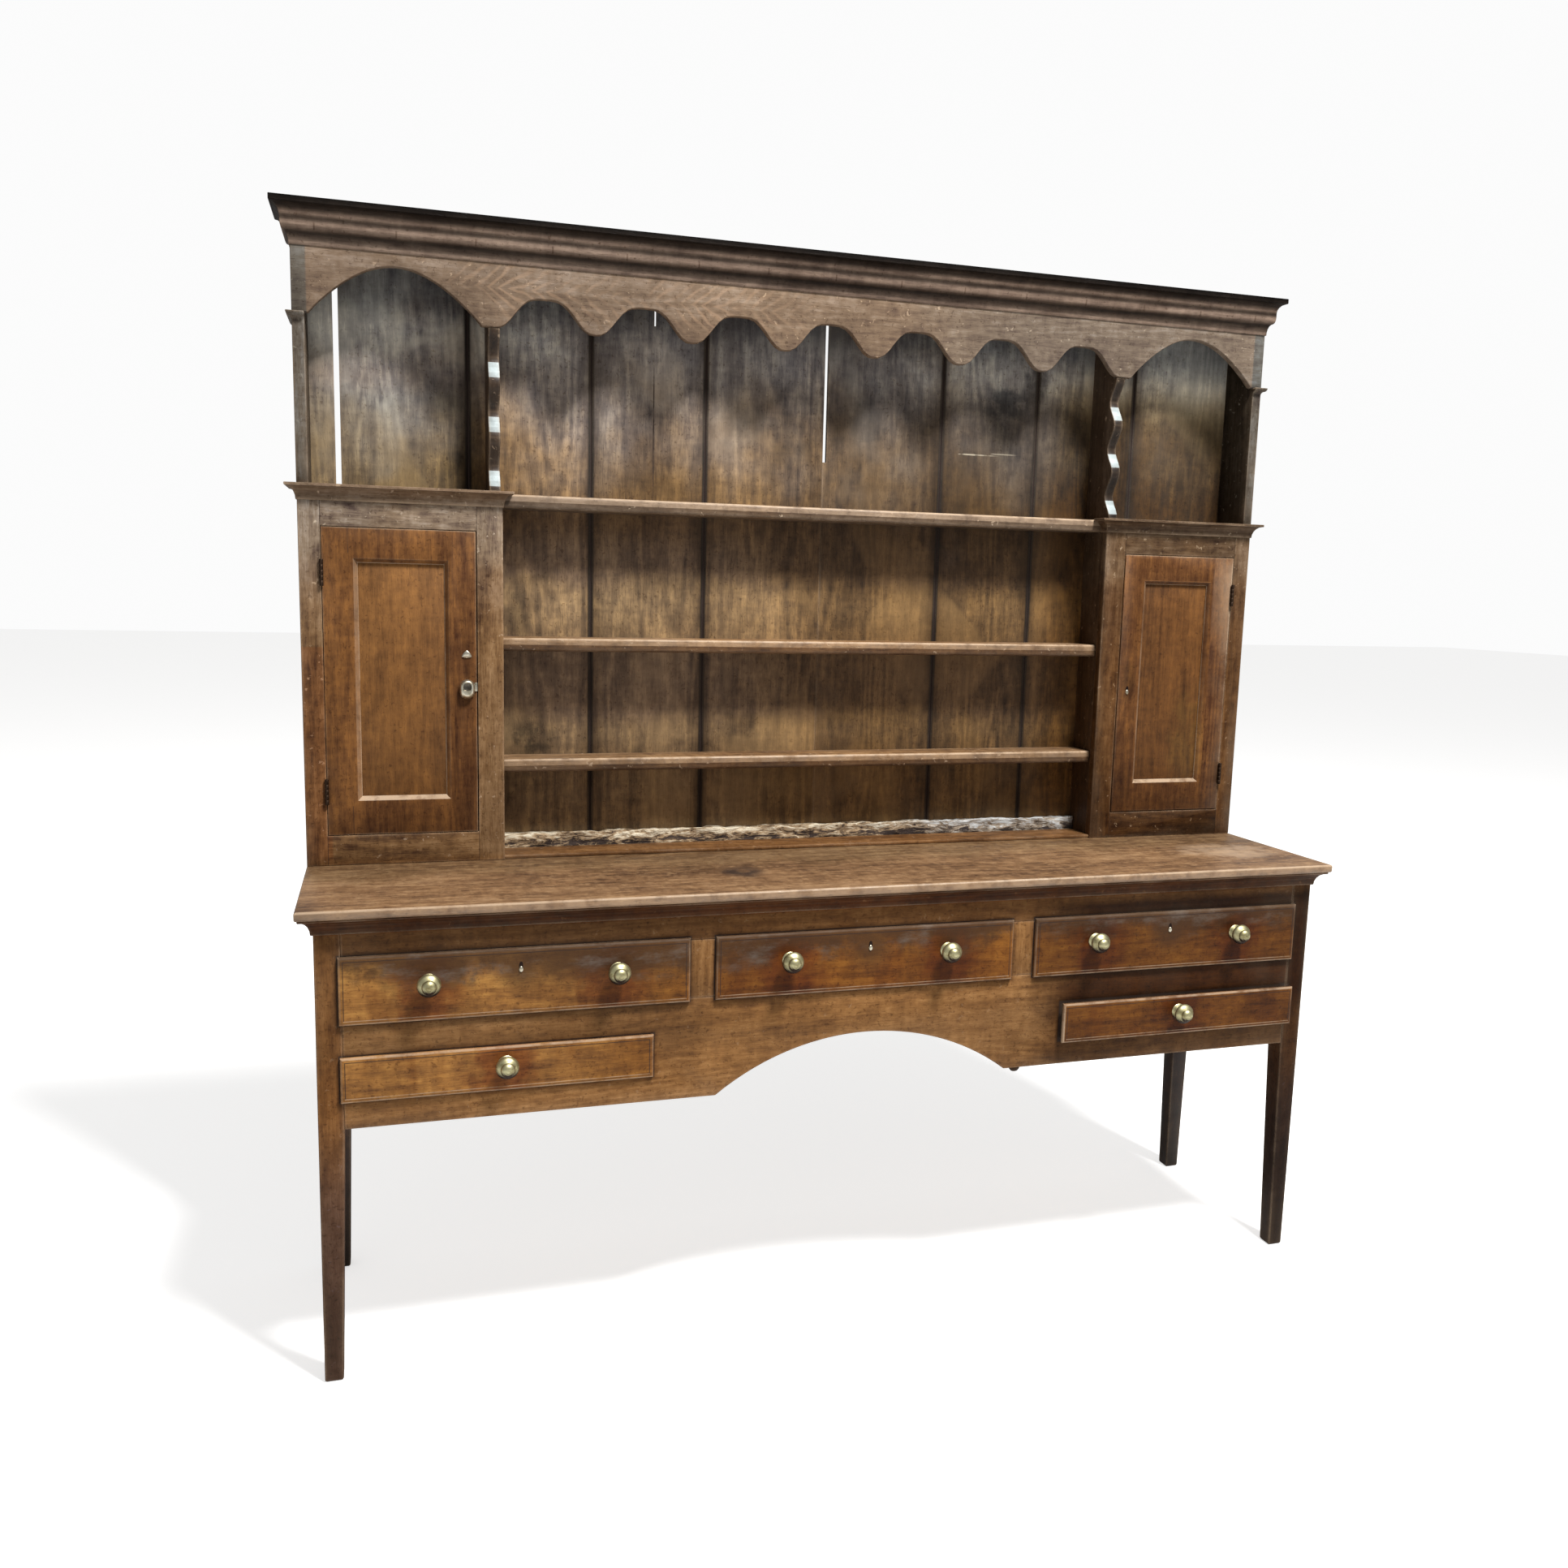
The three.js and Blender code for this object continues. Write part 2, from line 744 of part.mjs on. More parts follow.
// The right-hand half of the frieze board's edge, from the middle arch's crown to the top.
function friezeHalfOutline() {
  const pitch = (2 * uprightMiddle) / smallArchCount;
  const steps = Math.round((smallArchCount * smallArchSteps) / 2);
  const points = [];
  for (let i = 0; i <= steps; i++) {
    const x = (i / steps) * uprightMiddle;
    const across = x / pitch + smallArchCount / 2;
    const rise = smallArchRise * archShare(across, smallArchBreadth, smallArchSharpness);
    points.push([x, friezeFoot + rise]);
  }
  const first = uprightMiddle + cuspFlat;
  const span = rackHalf - endArchFoot - first;
  for (let i = 0; i <= endArchSteps; i++) {
    const across = i / endArchSteps;
    const rise = endArchRise * archShare(across, endArchBreadth, endArchSharpness);
    points.push([first + across * span, friezeFoot + rise]);
  }
  points.push([rackHalf, friezeFoot]);
  points.push([rackHalf, roofUnderside]);
  return points;
}

function addFrieze() {
  const right = friezeHalfOutline();
  const left = right.slice(1).reverse();
  const outline = [...right, ...left.map(([x, z]) => [-x, z])];
  add("frieze", closed(frontBoard(outline, [rackFront, friezeBack])), agedOak);
}

function addRoof() {
  const depth = [rackFront, rackBack + backboardThickness];
  add("rack_roof", board([-rackHalf, rackHalf], depth, [roofUnderside, rackTop]), darkOak);
}

function capital() {
  const foot = friezeFoot - capitalHeight;
  const half = foot + capitalHeight / 2;
  const profile = [
    [-capitalWeld, foot],
    [0, foot],
    ...curve([0, foot], [capitalProjection / 2, half], true).slice(1),
    ...curve([capitalProjection / 2, half], [capitalProjection, friezeFoot], false).slice(1),
    [-capitalWeld, friezeFoot],
  ];
  return mitred(profile, [
    { x: endBoardInner, y: rackFront, outX: 0, outY: -1 },
    { x: rackHalf, y: rackFront, outX: 1, outY: -1 },
    { x: rackHalf, y: rackBack, outX: 1, outY: 0 },
  ]);
}

// An end board steps forward above the cupboard and back again behind the frieze.
function addEndBoards() {
  const outline = [
    [cupboardFrameBack, baseHeight],
    [rackBack, baseHeight],
    [rackBack, roofUnderside],
    [friezeBack, roofUnderside],
    [friezeBack, friezeFoot],
    [rackFront, friezeFoot],
    [rackFront, cupboardTop],
    [cupboardFrameBack, cupboardTop],
  ];
  const plain = endBoard(outline, [endBoardInner, rackHalf]);
  const geometry = join(plain, capital());
  for (const [end, side] of ends) {
    add(`end_board_${end}`, handed(side, geometry), agedOak);
  }
}

// An inner upright is the cupboard's inner side, and above it a scalloped divider.
function addInnerUprights() {
  const outline = [
    [cupboardFrameBack, baseHeight],
    [rackBack, baseHeight],
    [rackBack, roofUnderside],
    [friezeBack, roofUnderside],
    [friezeBack, friezeFoot],
  ];
  const steps = dividerWaves * dividerWaveSteps;
  for (let i = 0; i <= steps; i++) {
    const down = i / steps;
    const back = dividerWaveDepth * archShare(down * dividerWaves, 1, 1);
    const z = friezeFoot + down * (cupboardTop - friezeFoot);
    outline.push([rackFront + dividerSetback + back, z]);
  }
  outline.push([cupboardFrameBack, cupboardTop]);
  const geometry = endBoard(outline, [shelfHalf, uprightOuter]);
  for (const [end, side] of ends) {
    add(`inner_upright_${end}`, handed(side, closed(geometry)), agedOak);
  }
}

// A shelf's section, with both of its front arrises rounded.
function shelfOutline(top) {
  const front = rackFront + shelfSetback;
  const bottom = top - shelfThickness;
  const lower = [];
  for (let i = 0; i <= shelfNoseSteps; i++) {
    const turn = (i / shelfNoseSteps) * (Math.PI / 2);
    const back = shelfNose * (1 - Math.cos(turn));
    lower.push([front + back, bottom + shelfNose * (1 - Math.sin(turn))]);
  }
  const upper = lower.map(([y, z]) => [y, top + bottom - z]).reverse();
  return [...lower, [rackBack, bottom], [rackBack, top], ...upper];
}

function addShelves() {
  const shelves = [
    ["shelf_top", cupboardHeight - topShelfDrop],
    ["shelf_middle", middleShelfHeight],
    ["shelf_bottom", bottomShelfHeight],
  ];
  for (const [name, height] of shelves) {
    const geometry = endBoard(shelfOutline(baseHeight + height), [-shelfHalf, shelfHalf]);
    add(name, closed(geometry), agedOak);
  }
  const depth = [rackBack - footRailThickness, rackBack];
  const level = [baseHeight, baseHeight + footRailHeight];
  add("rack_foot_rail", board([-shelfHalf, shelfHalf], depth, level), wornRail);
}

// Backboards from x0 to x1, seen from above, with a groove at each joint between boards.
function backboardOutline([x0, x1]) {
  const points = [[x0, rackBack]];
  for (const share of backboardSeamShares) {
    const x = share * rackHalf;
    if (x <= x0 + seamWidth || x >= x1 - seamWidth) continue;
    points.push([x - seamWidth / 2, rackBack]);
    points.push([x, rackBack + seamDepth]);
    points.push([x + seamWidth / 2, rackBack]);
  }
  points.push([x1, rackBack]);
  points.push([x1, rackBack + backboardThickness]);
  points.push([x0, rackBack + backboardThickness]);
  return points;
}

// Two joints have opened into gaps that show daylight.
function addBackboards() {
  const level = [baseHeight, roofUnderside];
  const through = [rackBack - overrun, rackBack + backboardThickness + overrun];
  const split = centreGapShare * rackHalf - centreGapWidth / 2;
  const leftGap = leftGapShare * rackHalf - leftGapWidth / 2;
  const leftSlot = board(
    [leftGap, leftGap + leftGapWidth],
    through,
    [cupboardFrameTop, roofUnderside + overrun],
  );
  const centreSlot = board(
    [split - overrun, split + centreGapWidth],
    through,
    [baseHeight + centreGapHeight, roofUnderside + overrun],
  );
  const left = planBoard(backboardOutline([-rackHalf, split]), level);
  const right = planBoard(backboardOutline([split, rackHalf]), level);
  add("backboards_left", cut(left, leftSlot), backOak);
  add("backboards_right", cut(right, centreSlot), backOak);
}

// Cupboards

function addCupboardFrames() {
  const depth = [rackFront, cupboardFrameBack];
  const whole = board([cupboardInner, rackHalf], depth, [baseHeight, cupboardFrameTop]);
  const opening = board(
    [doorOpeningInner, doorOpeningOuter],
    [rackFront - overrun, cupboardFrameBack + overrun],
    [doorOpeningBottom, doorOpeningTop],
  );
  const geometry = cut(whole, opening);
  for (const [end, side] of ends) {
    add(`cupboard_frame_${end}`, handed(side, geometry), agedOak);
  }
}

// A cupboard's top is a board behind a moulded edge that returns on both sides.
function addCupboardTops() {
  const level = [cupboardFrameTop, cupboardTop];
  const bottom = cupboardTop - cupboardMouldingHeight;
  const underNose = cupboardTop - cupboardMouldingNose;
  const profile = [
    [0, bottom],
    ...curve([capitalWeld, bottom], [cupboardMouldingProjection - capitalWeld, underNose], true),
    [cupboardMouldingProjection, underNose],
    [cupboardMouldingProjection, cupboardTop],
    [0, cupboardTop],
  ];
  const innerReturn = rackFront + shelfSetback;
  const outerReturn = rackBack + backboardThickness;
  const route = threeSides([cupboardInner, rackHalf], rackFront, innerReturn, outerReturn);
  const overFrame = [rackFront - capitalWeld, cupboardFrameBack];
  const strip = board([cupboardInner, rackHalf], overFrame, level);
  const inside = board([uprightOuter, endBoardInner], [rackFront, rackBack], level);
  const geometry = join(mitred(profile, route), strip, inside);
  for (const [end, side] of ends) {
    add(`cupboard_top_${end}`, handed(side, geometry), agedOak);
  }
}

const doorInner = doorOpeningInner + doorFreeGap;
const doorOuter = doorOpeningOuter - doorGap;
const doorBottom = doorOpeningBottom + doorGap;
const doorTop = doorOpeningTop - doorGap;
const doorBack = rackFront + doorThickness;
const panelFace = rackFront + doorMouldingDepth;
const catchX = doorInner + catchFromDoorEdge;
const catchZ = baseHeight + catchHeight;

// The rectangle inside the door's stiles and rails, made smaller by an inset.
function insideDoor(inset, y) {
  const x0 = doorInner + doorFreeStile + inset;
  const x1 = doorOuter - doorHingeStile - inset;
  const z0 = doorBottom + doorBottomRail + inset;
  const z1 = doorTop - doorTopRail - inset;
  return [
    [x0, y, z0],
    [x1, y, z0],
    [x1, y, z1],
    [x0, y, z1],
  ];
}

function doorFrame() {
  const whole = board([doorInner, doorOuter], [rackFront, doorBack], [doorBottom, doorTop]);
  const mouldedHole = skinned(
    [
      insideDoor(0, rackFront - overrun),
      insideDoor(0, rackFront),
      insideDoor(doorMouldingWidth, panelFace),
      insideDoor(doorMouldingWidth, panelFace + overrun),
    ],
    fourSided,
  );
  const rebate = doorMouldingWidth - panelRebate;
  const rebateHole = skinned(
    [insideDoor(rebate, panelFace), insideDoor(rebate, doorBack + overrun)],
    fourSided,
  );
  return cut(whole, mouldedHole, rebateHole);
}

function spindle(radius, [y0, y1]) {
  const geometry = new THREE.CylinderGeometry(radius, radius, y1 - y0, catchSides);
  return geometry.translate(catchX, (y0 + y1) / 2, catchZ);
}

function addDoors() {
  const seat = doorMouldingWidth - panelRebate + fitGap;
  const panelFront = panelFace + fitGap;
  const panel = skinned(
    [insideDoor(seat, panelFront), insideDoor(seat, panelFront + panelThickness)],
    fourSided,
  );
  const plain = doorFrame();
  const through = [rackFront - overrun, doorBack + overrun];
  const bored = cut(plain, spindle(catchSpindleRadius + fitGap, through));
  add("door_frame_left", handed(-1, bored), warmOak);
  add("door_frame_right", plain, warmOak);
  for (const [end, side] of ends) {
    add(`door_panel_${end}`, handed(side, panel), warmOak);
  }
}

// A butt hinge: one leaf let into the gap beside the door, and its knuckle in front.
function addHinges() {
  const axisX = doorOpeningOuter - doorGap / 2;
  const axisY = rackFront - hingeKnuckleStandoff;
  const leaves = [doorOpeningOuter - hingeLeafThickness, doorOpeningOuter];
  const places = [
    ["lower", doorBottom + hingeFromDoorEnd],
    ["upper", doorTop - hingeFromDoorEnd],
  ];
  for (const [place, middle] of places) {
    const level = [middle - hingeHeight / 2, middle + hingeHeight / 2];
    const leaf = board(leaves, [axisY, axisY + hingeLeafWidth], level);
    const radius = hingeKnuckleRadius;
    const knuckle = new THREE.CylinderGeometry(radius, radius, hingeHeight, hingeSides);
    const hinge = join(leaf, knuckle.rotateX(Math.PI / 2).translate(axisX, axisY, middle));
    for (const [end, side] of ends) {
      add(`door_hinge_${end}_${place}`, handed(side, hinge), ironwork);
    }
  }
}

// The catch turns by a dished knob. Its spindle passes through the door's stile and
// carries a tongue that hangs down when the door is free to open.
function addTurnCatch() {
  const profile = [
    [0, 0],
    [(catchKnobRadius + catchDishRadius) / 2, 0],
    [catchKnobRadius, catchKnobProjection / 2],
    [(catchKnobRadius + catchDishRadius) / 2, catchKnobProjection],
    [catchDishRadius, catchKnobProjection],
    [catchDishRadius / 2, catchKnobProjection - catchDishDepth],
    [0, catchKnobProjection - catchDishDepth],
  ];
  const knobBack = rackFront - fitGap;
  const tongueFront = doorBack + catchTonguePlay;
  const tongueBack = tongueFront + catchTongueThickness;
  const knob = turned(profile, catchSides, catchX, knobBack, catchZ);
  const rod = spindle(catchSpindleRadius, [knobBack - catchDishDepth, tongueBack - fitGap]);
  const tongue = board(
    [catchX - catchTongueWidth / 2, catchX + catchTongueWidth / 2],
    [tongueFront, tongueBack],
    [catchZ - catchTongueLength, catchZ + catchTongueWidth / 2],
  );
  add("turn_catch", handed(-1, join(knob, rod, tongue)), oldBrass);
}

addTopBoard();
addBaseMoulding();
addLegs();
addFrontFrame();
addFrontApron();
addEndsAndBack();
addUpperBearer();
addLowerBearers();
addDrawers();
addCornice();
addFrieze();
addRoof();
addEndBoards();
addInnerUprights();
addShelves();
addBackboards();
addCupboardFrames();
addCupboardTops();
addDoors();
addHinges();
addTurnCatch();

const dresser = new THREE.Group();
dresser.add(pieces);

export default dresser;
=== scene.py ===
"""Finishes of an oak dresser: worn boards, turned brass, iron hinges, a floor and soft light."""

import json
import math
from contextlib import contextmanager
from functools import cached_property

import bpy
from mathutils import Matrix, Vector, noise

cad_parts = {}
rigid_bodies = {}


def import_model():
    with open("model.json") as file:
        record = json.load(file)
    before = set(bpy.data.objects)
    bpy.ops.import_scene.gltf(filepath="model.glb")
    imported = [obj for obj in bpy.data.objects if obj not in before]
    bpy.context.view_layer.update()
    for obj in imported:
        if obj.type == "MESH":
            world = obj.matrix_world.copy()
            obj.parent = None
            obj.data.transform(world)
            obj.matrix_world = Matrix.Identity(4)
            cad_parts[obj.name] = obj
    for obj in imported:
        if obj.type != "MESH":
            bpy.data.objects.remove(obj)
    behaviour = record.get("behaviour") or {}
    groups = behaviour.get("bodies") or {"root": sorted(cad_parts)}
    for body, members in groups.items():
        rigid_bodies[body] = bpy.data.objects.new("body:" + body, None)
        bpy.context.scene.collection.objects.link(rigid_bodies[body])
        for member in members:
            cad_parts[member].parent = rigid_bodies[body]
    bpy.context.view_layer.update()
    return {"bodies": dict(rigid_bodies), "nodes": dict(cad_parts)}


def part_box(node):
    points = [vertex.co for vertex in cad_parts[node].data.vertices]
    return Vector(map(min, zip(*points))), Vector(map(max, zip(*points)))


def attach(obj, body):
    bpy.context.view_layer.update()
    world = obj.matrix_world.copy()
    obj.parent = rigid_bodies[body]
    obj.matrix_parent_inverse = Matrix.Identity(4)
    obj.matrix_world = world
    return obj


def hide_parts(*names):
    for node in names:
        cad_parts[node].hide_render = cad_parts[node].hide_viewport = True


bl_info = {
    "name": "Oak dresser",
    "version": (1, 0, 0),
    "blender": (4, 5, 0),
    "location": "3D View > Sidebar > Dresser",
    "description": "Worn oak, brass and iron finishes for a dresser with a plate rack",
    "category": "Object",
}

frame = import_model()
MM = 0.001

# The front edge of the top board, behind the part's own origin
FRONT_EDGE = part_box("base_top")[0].y

# The grain of a board runs along one of these
ALONG_X, ALONG_Y, ALONG_Z = 0.0, 1.0, 2.0

ENDS = {"left": -1, "right": 1}
UPPER_DRAWERS = [f"upper_{place}" for place in ("left", "centre", "right")]


def named(start):
    return [node for node in sorted(frame["nodes"]) if node.startswith(start)]


def linear(red, green, blue):
    """A display colour, in 0 to 255, as the linear colour that shaders use."""
    shares = [c / 255 for c in (red, green, blue)]
    return tuple(c / 12.92 if c <= 0.04045 else ((c + 0.055) / 1.055) ** 2.4 for c in shares)


def colour(name, description, *display):
    return bpy.props.FloatVectorProperty(
        name=name,
        description=description,
        subtype="COLOR",
        size=3,
        min=0,
        max=1,
        default=linear(*display),
    )


def length(name, description, millimetres):
    return bpy.props.FloatProperty(
        name=name,
        description=description,
        subtype="DISTANCE",
        unit="LENGTH",
        precision=4,
        min=0,
        default=millimetres * MM,
    )


class DresserColours(bpy.types.PropertyGroup):
    """Colours of the finishes."""

    # Worn edge also paints the reflection on the top board, and the highlight on the doors' and
    # shelves' edges
    worn_edge: colour("Worn edge", "Wood laid bare on edges", 178, 154, 128)
    # A painted highlight on the scallops, where they face up to the light
    gleam: colour("Bare scallops", "Upper sides of the scallops", 160, 170, 170)
    frieze_line: colour("Frieze figure", "Arrowheads in the frieze's grain", 196, 160, 128)
    # Grime also lays painted shade: in the gaps round the drawers, in the crease inside their
    # moulded edges, under the knobs and in the keyholes
    grime: colour("Grime", "Old dirt in joints and stains", 44, 34, 30)
    stain: colour("Stain", "Dark stain along the top of the drawer fronts", 58, 39, 23)
    bloom: colour("Bloom", "Grey bloom on the stain of the drawer fronts", 112, 105, 98)
    brass: colour("Brass", "Knobs and catch", 190, 184, 144)
    brass_pale: colour("Pale brass", "Catch and keyhole cover", 214, 208, 190)
    brass_dull: colour("Dull brass", "Brass that hands don't reach", 114, 100, 58)
    iron: colour("Iron", "Hinges", 58, 45, 36)
    floor: colour("Floor", "Floor and backdrop", 236, 235, 233)


# Each kind of oak, where it is, and the colours of its light streaks, its body and its dark streaks
TONES = ("light", "mid", "dark")
OAKS = {
    "case": ("the frame and the frieze", (151, 113, 72), (117, 82, 47), (71, 45, 26)),
    "top": ("the top board", (148, 117, 84), (116, 86, 58), (70, 48, 33)),
    "warm": ("the drawer fronts", (174, 121, 51), (138, 89, 35), (85, 50, 20)),
    "door": ("the doors' frames", (140, 96, 52), (106, 71, 41), (70, 42, 25)),
    "panel": ("the door panels", (160, 113, 61), (127, 88, 48), (85, 56, 29)),
    "back": ("the backboards", (150, 117, 74), (104, 80, 52), (59, 45, 31)),
    "cornice": ("the rear legs and the roof", (98, 66, 44), (62, 38, 27), (34, 20, 14)),
    "bead": ("the cornice's bead", (146, 126, 110), (119, 101, 88), (88, 73, 64)),
    "raw": ("the drawer trays and bearers", (182, 148, 104), (150, 116, 78), (104, 76, 50)),
    "worn": ("the worm-eaten rail", (206, 194, 170), (150, 124, 92), (46, 32, 24)),
}
for oak_name, (where, *displays) in OAKS.items():
    for tone, display in zip(TONES, displays):
        DresserColours.__annotations__[f"{oak_name}_{tone}"] = colour(
            f"{oak_name.capitalize()} oak, {tone}", f"{tone.capitalize()} tone of {where}", *display
        )


class DresserSizes(bpy.types.PropertyGroup):
    """Sizes of what the finishes add to the solids."""

    edge_round: length("Edge rounding", "Width of the worn edge on most boards", 1.6)
    soft_edge_round: length("Soft edge rounding", "Width of the top's and shelves' worn edge", 3)
    joint_width: length("Joint width", "Width of the dark line at a joint between boards", 0.8)
    edge_wear: length("Edge wear", "How far bare wood reaches from an edge", 5)
    knob_radius: length("Knob radius", "Radius of a drawer knob", 20)
    keyhole_radius: length("Keyhole radius", "Radius of the pin in a keyhole", 3.8)
    # The dark line is painted shade in the crease of the moulding
    line_width: length("Line width", "Width of the dark line inside a drawer's moulded edge", 1.6)
    rail_roughness: length("Rail roughness", "Depth of the worm-eaten rail's hollows", 5)


def sizes():
    return bpy.context.scene.dresser_sizes


def rgba(name):
    return (*getattr(bpy.context.scene.dresser_colours, name), 1)


# Shader nodes


class Tree:
    """Adds nodes to a node tree. An input is given a value or the socket that feeds it.

    Shade is the colour so far. A share is a value from 0 to 1, or (value, low, high), which is 0
    at low, 1 at high and smooth between them. Low may be the greater.
    """

    def __init__(self, tree):
        self.tree = tree
        self.shade = None

    @cached_property
    def here(self):
        """Where a point is on the dresser, in metres."""
        return self.node("ShaderNodeTexCoord")["Object"]

    @cached_property
    def xyz(self):
        return self.node("ShaderNodeSeparateXYZ", {0: self.here})

    @cached_property
    def patch(self):
        return self.group(blotches)

    def feed(self, made, inputs):
        for socket, value in (inputs or {}).items():
            if isinstance(value, bpy.types.NodeSocket):
                self.tree.links.new(value, made.inputs[socket])
            else:
                made.inputs[socket].default_value = value
        return made.outputs

    def node(self, kind, inputs=None, **settings):
        made = self.tree.nodes.new(kind)
        for name, value in settings.items():
            setattr(made, name, value)
        return self.feed(made, inputs)

    def group(self, build, inputs=None):
        made = self.tree.nodes.new("ShaderNodeGroup")
        made.node_tree = bpy.data.node_groups.get(build.__name__) or build(build.__name__)
        return self.feed(made, inputs)

    def attribute(self, name, output="Fac"):
        return self.node("ShaderNodeAttribute", attribute_name=name)[output]

    def math(self, operation, *values, clamp=False):
        inputs = dict(enumerate(values))
        return self.node("ShaderNodeMath", inputs, operation=operation, use_clamp=clamp)[0]

    def minus(self, value, other, clamp=False):
        return self.math("SUBTRACT", value, other, clamp=clamp)

    def plus(self, value, other, share):
        """A value with a share of another added to it."""
        return self.math("MULTIPLY_ADD", other, share, value)

    def times(self, *shares):
        product, *others = [self.step(*s) if isinstance(s, tuple) else s for s in shares]
        for other in others:
            product = self.math("MULTIPLY", product, other)
        return product

    def size(self, value):
        return self.math("ABSOLUTE", value)

    def distance(self, across, along):
        squares = (self.math("POWER", side, 2.0) for side in (across, along))
        return self.math("SQRT", self.math("ADD", *squares))

    def vector(self, operation, first, second):
        made = self.node("ShaderNodeVectorMath", {0: first, 1: second}, operation=operation)
        return made["Value" if operation == "DOT_PRODUCT" else "Vector"]

    def mix(self, share, first, second, blend="MIX"):
        inputs = {0: share, 6: first, 7: second}
        return self.node("ShaderNodeMix", inputs, data_type="RGBA", blend_type=blend)[2]

    def mix_vectors(self, share, first, second):
        return self.node("ShaderNodeMix", {0: share, 4: first, 5: second}, data_type="VECTOR")[1]

    def noise(self, vector, stretch, detail=3.0, roughness=0.5, distortion=0.0):
        """Clouds, so many to a metre each way."""
        if not isinstance(stretch, tuple):
            stretch = (stretch,) * 3
        inputs = {
            "Vector": self.vector("MULTIPLY", vector, stretch),
            "Scale": 1.0,
            "Detail": detail,
            "Roughness": roughness,
            "Distortion": distortion,
        }
        return self.node("ShaderNodeTexNoise", inputs)[0]

    def step(self, value, low, high):
        inputs = {"Value": value, "From Min": low, "From Max": high}
        return self.node("ShaderNodeMapRange", inputs, interpolation_type="SMOOTHSTEP")[0]

    def range(self, value, low, high):
        """A value from 0 to 1, spread from low to high."""
        return self.math("MULTIPLY_ADD", value, high - low, low)

    def ramp(self, share, *stops):
        made = self.tree.nodes.new("ShaderNodeValToRGB")
        elements = made.color_ramp.elements
        while len(elements) < len(stops):
            elements.new(0.5)
        for element, (position, shade) in zip(elements, stops):
            element.position, element.color = position, shade
        return self.feed(made, {0: share})[0]

    def tint(self, tint, *shares):
        """Multiplies the shade by a tint, where all the shares are great."""
        share = self.times(*shares)
        self.shade = self.mix(share, self.shade, self.mix(1.0, self.shade, (*tint, 1), "MULTIPLY"))

    def cover(self, colour, *shares):
        """Lays a colour over the shade, where all the shares are great."""
        self.shade = self.mix(self.times(*shares), self.shade, colour)

    def spot(self, middle, reach, rough=0.8):
        """A mark with ragged edges: 1 at its middle, 0 beyond its reach."""
        away = self.vector("DIVIDE", self.vector("SUBTRACT", self.here, middle), reach)
        far = self.plus(self.vector("DOT_PRODUCT", away, away), self.patch["Small"], rough)
        return self.step(far, 1.1 + rough / 2, 0.1)

    def bump(self, height, strength, distance):
        inputs = {"Height": height, "Strength": strength, "Distance": distance}
        return self.node("ShaderNodeBump", inputs)[0]


def new_group(name, inputs, *outputs):
    """A node group: its tree, what comes in, and what puts a value out. Only Along is a vector."""
    group = bpy.data.node_groups.new(name, "ShaderNodeTree")

    def socket(title, way):
        kind = "NodeSocketVector" if title == "Along" else "NodeSocketFloat"
        return group.interface.new_socket(title, in_out=way, socket_type=kind)

    for title, default in inputs.items():
        made = socket(title, "INPUT")
        if default is not None:
            made.default_value = default
    for title in outputs:
        socket(title, "OUTPUT")
    tree = Tree(group)
    given = tree.node("NodeGroupInput")
    put = group.nodes.new("NodeGroupOutput").inputs
    return tree, given, lambda title, value: group.links.new(value, put[title])


def board_space(name):
    """Coordinates whose X runs along a board's grain and that differ from board to board."""
    tree, _, put = new_group(name, {}, "Along", "Seed")
    x, y, z = tree.xyz
    from_y, from_z = (
        tree.node("ShaderNodeCombineXYZ", dict(enumerate(turned)))[0]
        for turned in ((y, z, x), (z, x, y))
    )
    axis = tree.attribute("grain_axis")
    is_y, is_z = (tree.math("GREATER_THAN", axis, least) for least in (0.5, 1.5))
    along = tree.mix_vectors(is_z, tree.mix_vectors(is_y, tree.here, from_y), from_z)
    seed = tree.attribute("board_seed")
    apart = tree.node("ShaderNodeCombineXYZ", {0: seed, 1: seed, 2: seed})[0]
    apart = tree.vector("MULTIPLY", apart, (31.0, 17.0, 23.0))
    put("Along", tree.vector("ADD", along, apart))
    put("Seed", seed)
    return tree.tree


def oak_grain(name):
    """The tone of sawn oak from 0, dark, to 1, light, with its pores and their depth."""
    inputs = {"Along": None, "Rings": 0.15, "Rays": 0.3, "Contrast": 1.0}
    tree, given, put = new_group(name, inputs, "Tone", "Pores", "Height")
    along, contrast = given["Along"], given["Contrast"]
    streaks = tree.noise(along, (9, 120, 120), 3, 0.6)
    fibres = tree.noise(along, (40, 600, 600), 2, 0.6)
    parts = (
        (tree.noise(along, (1.3, 9, 9), 3, 0.55, 0.5), 0.75),
        (streaks, 0.6),
        (fibres, 0.45),
        (tree.noise(along, (34, 60, 60), 4, 0.65), 0.8),
        (tree.noise(along, (90, 22, 22), 2, 0.5, 0.4), given["Rays"]),
    )
    field = tree.noise(along, (0.8, 7, 7), 2, 0.45, 0.3)
    rings = tree.range(tree.math("SINE", tree.times(field, 110.0)), 0.5, 1.0)
    tone = tree.plus(0.5, tree.minus(rings, 0.5), given["Rings"])
    for part, share in parts:
        tone = tree.plus(tone, tree.minus(part, 0.5), share)
    dashes = tree.noise(along, (70, 420, 420), 2, 0.55)
    pores = tree.times((dashes, 0.56, 0.7), tree.range(rings, 0.5, 1.0))
    put("Tone", tree.plus(0.5, tree.minus(tone, 0.5), contrast))
    put("Pores", tree.times(pores, contrast))
    put("Height", tree.minus(tree.plus(tree.times(fibres, 0.35), streaks, 0.5), pores))
    return tree.tree


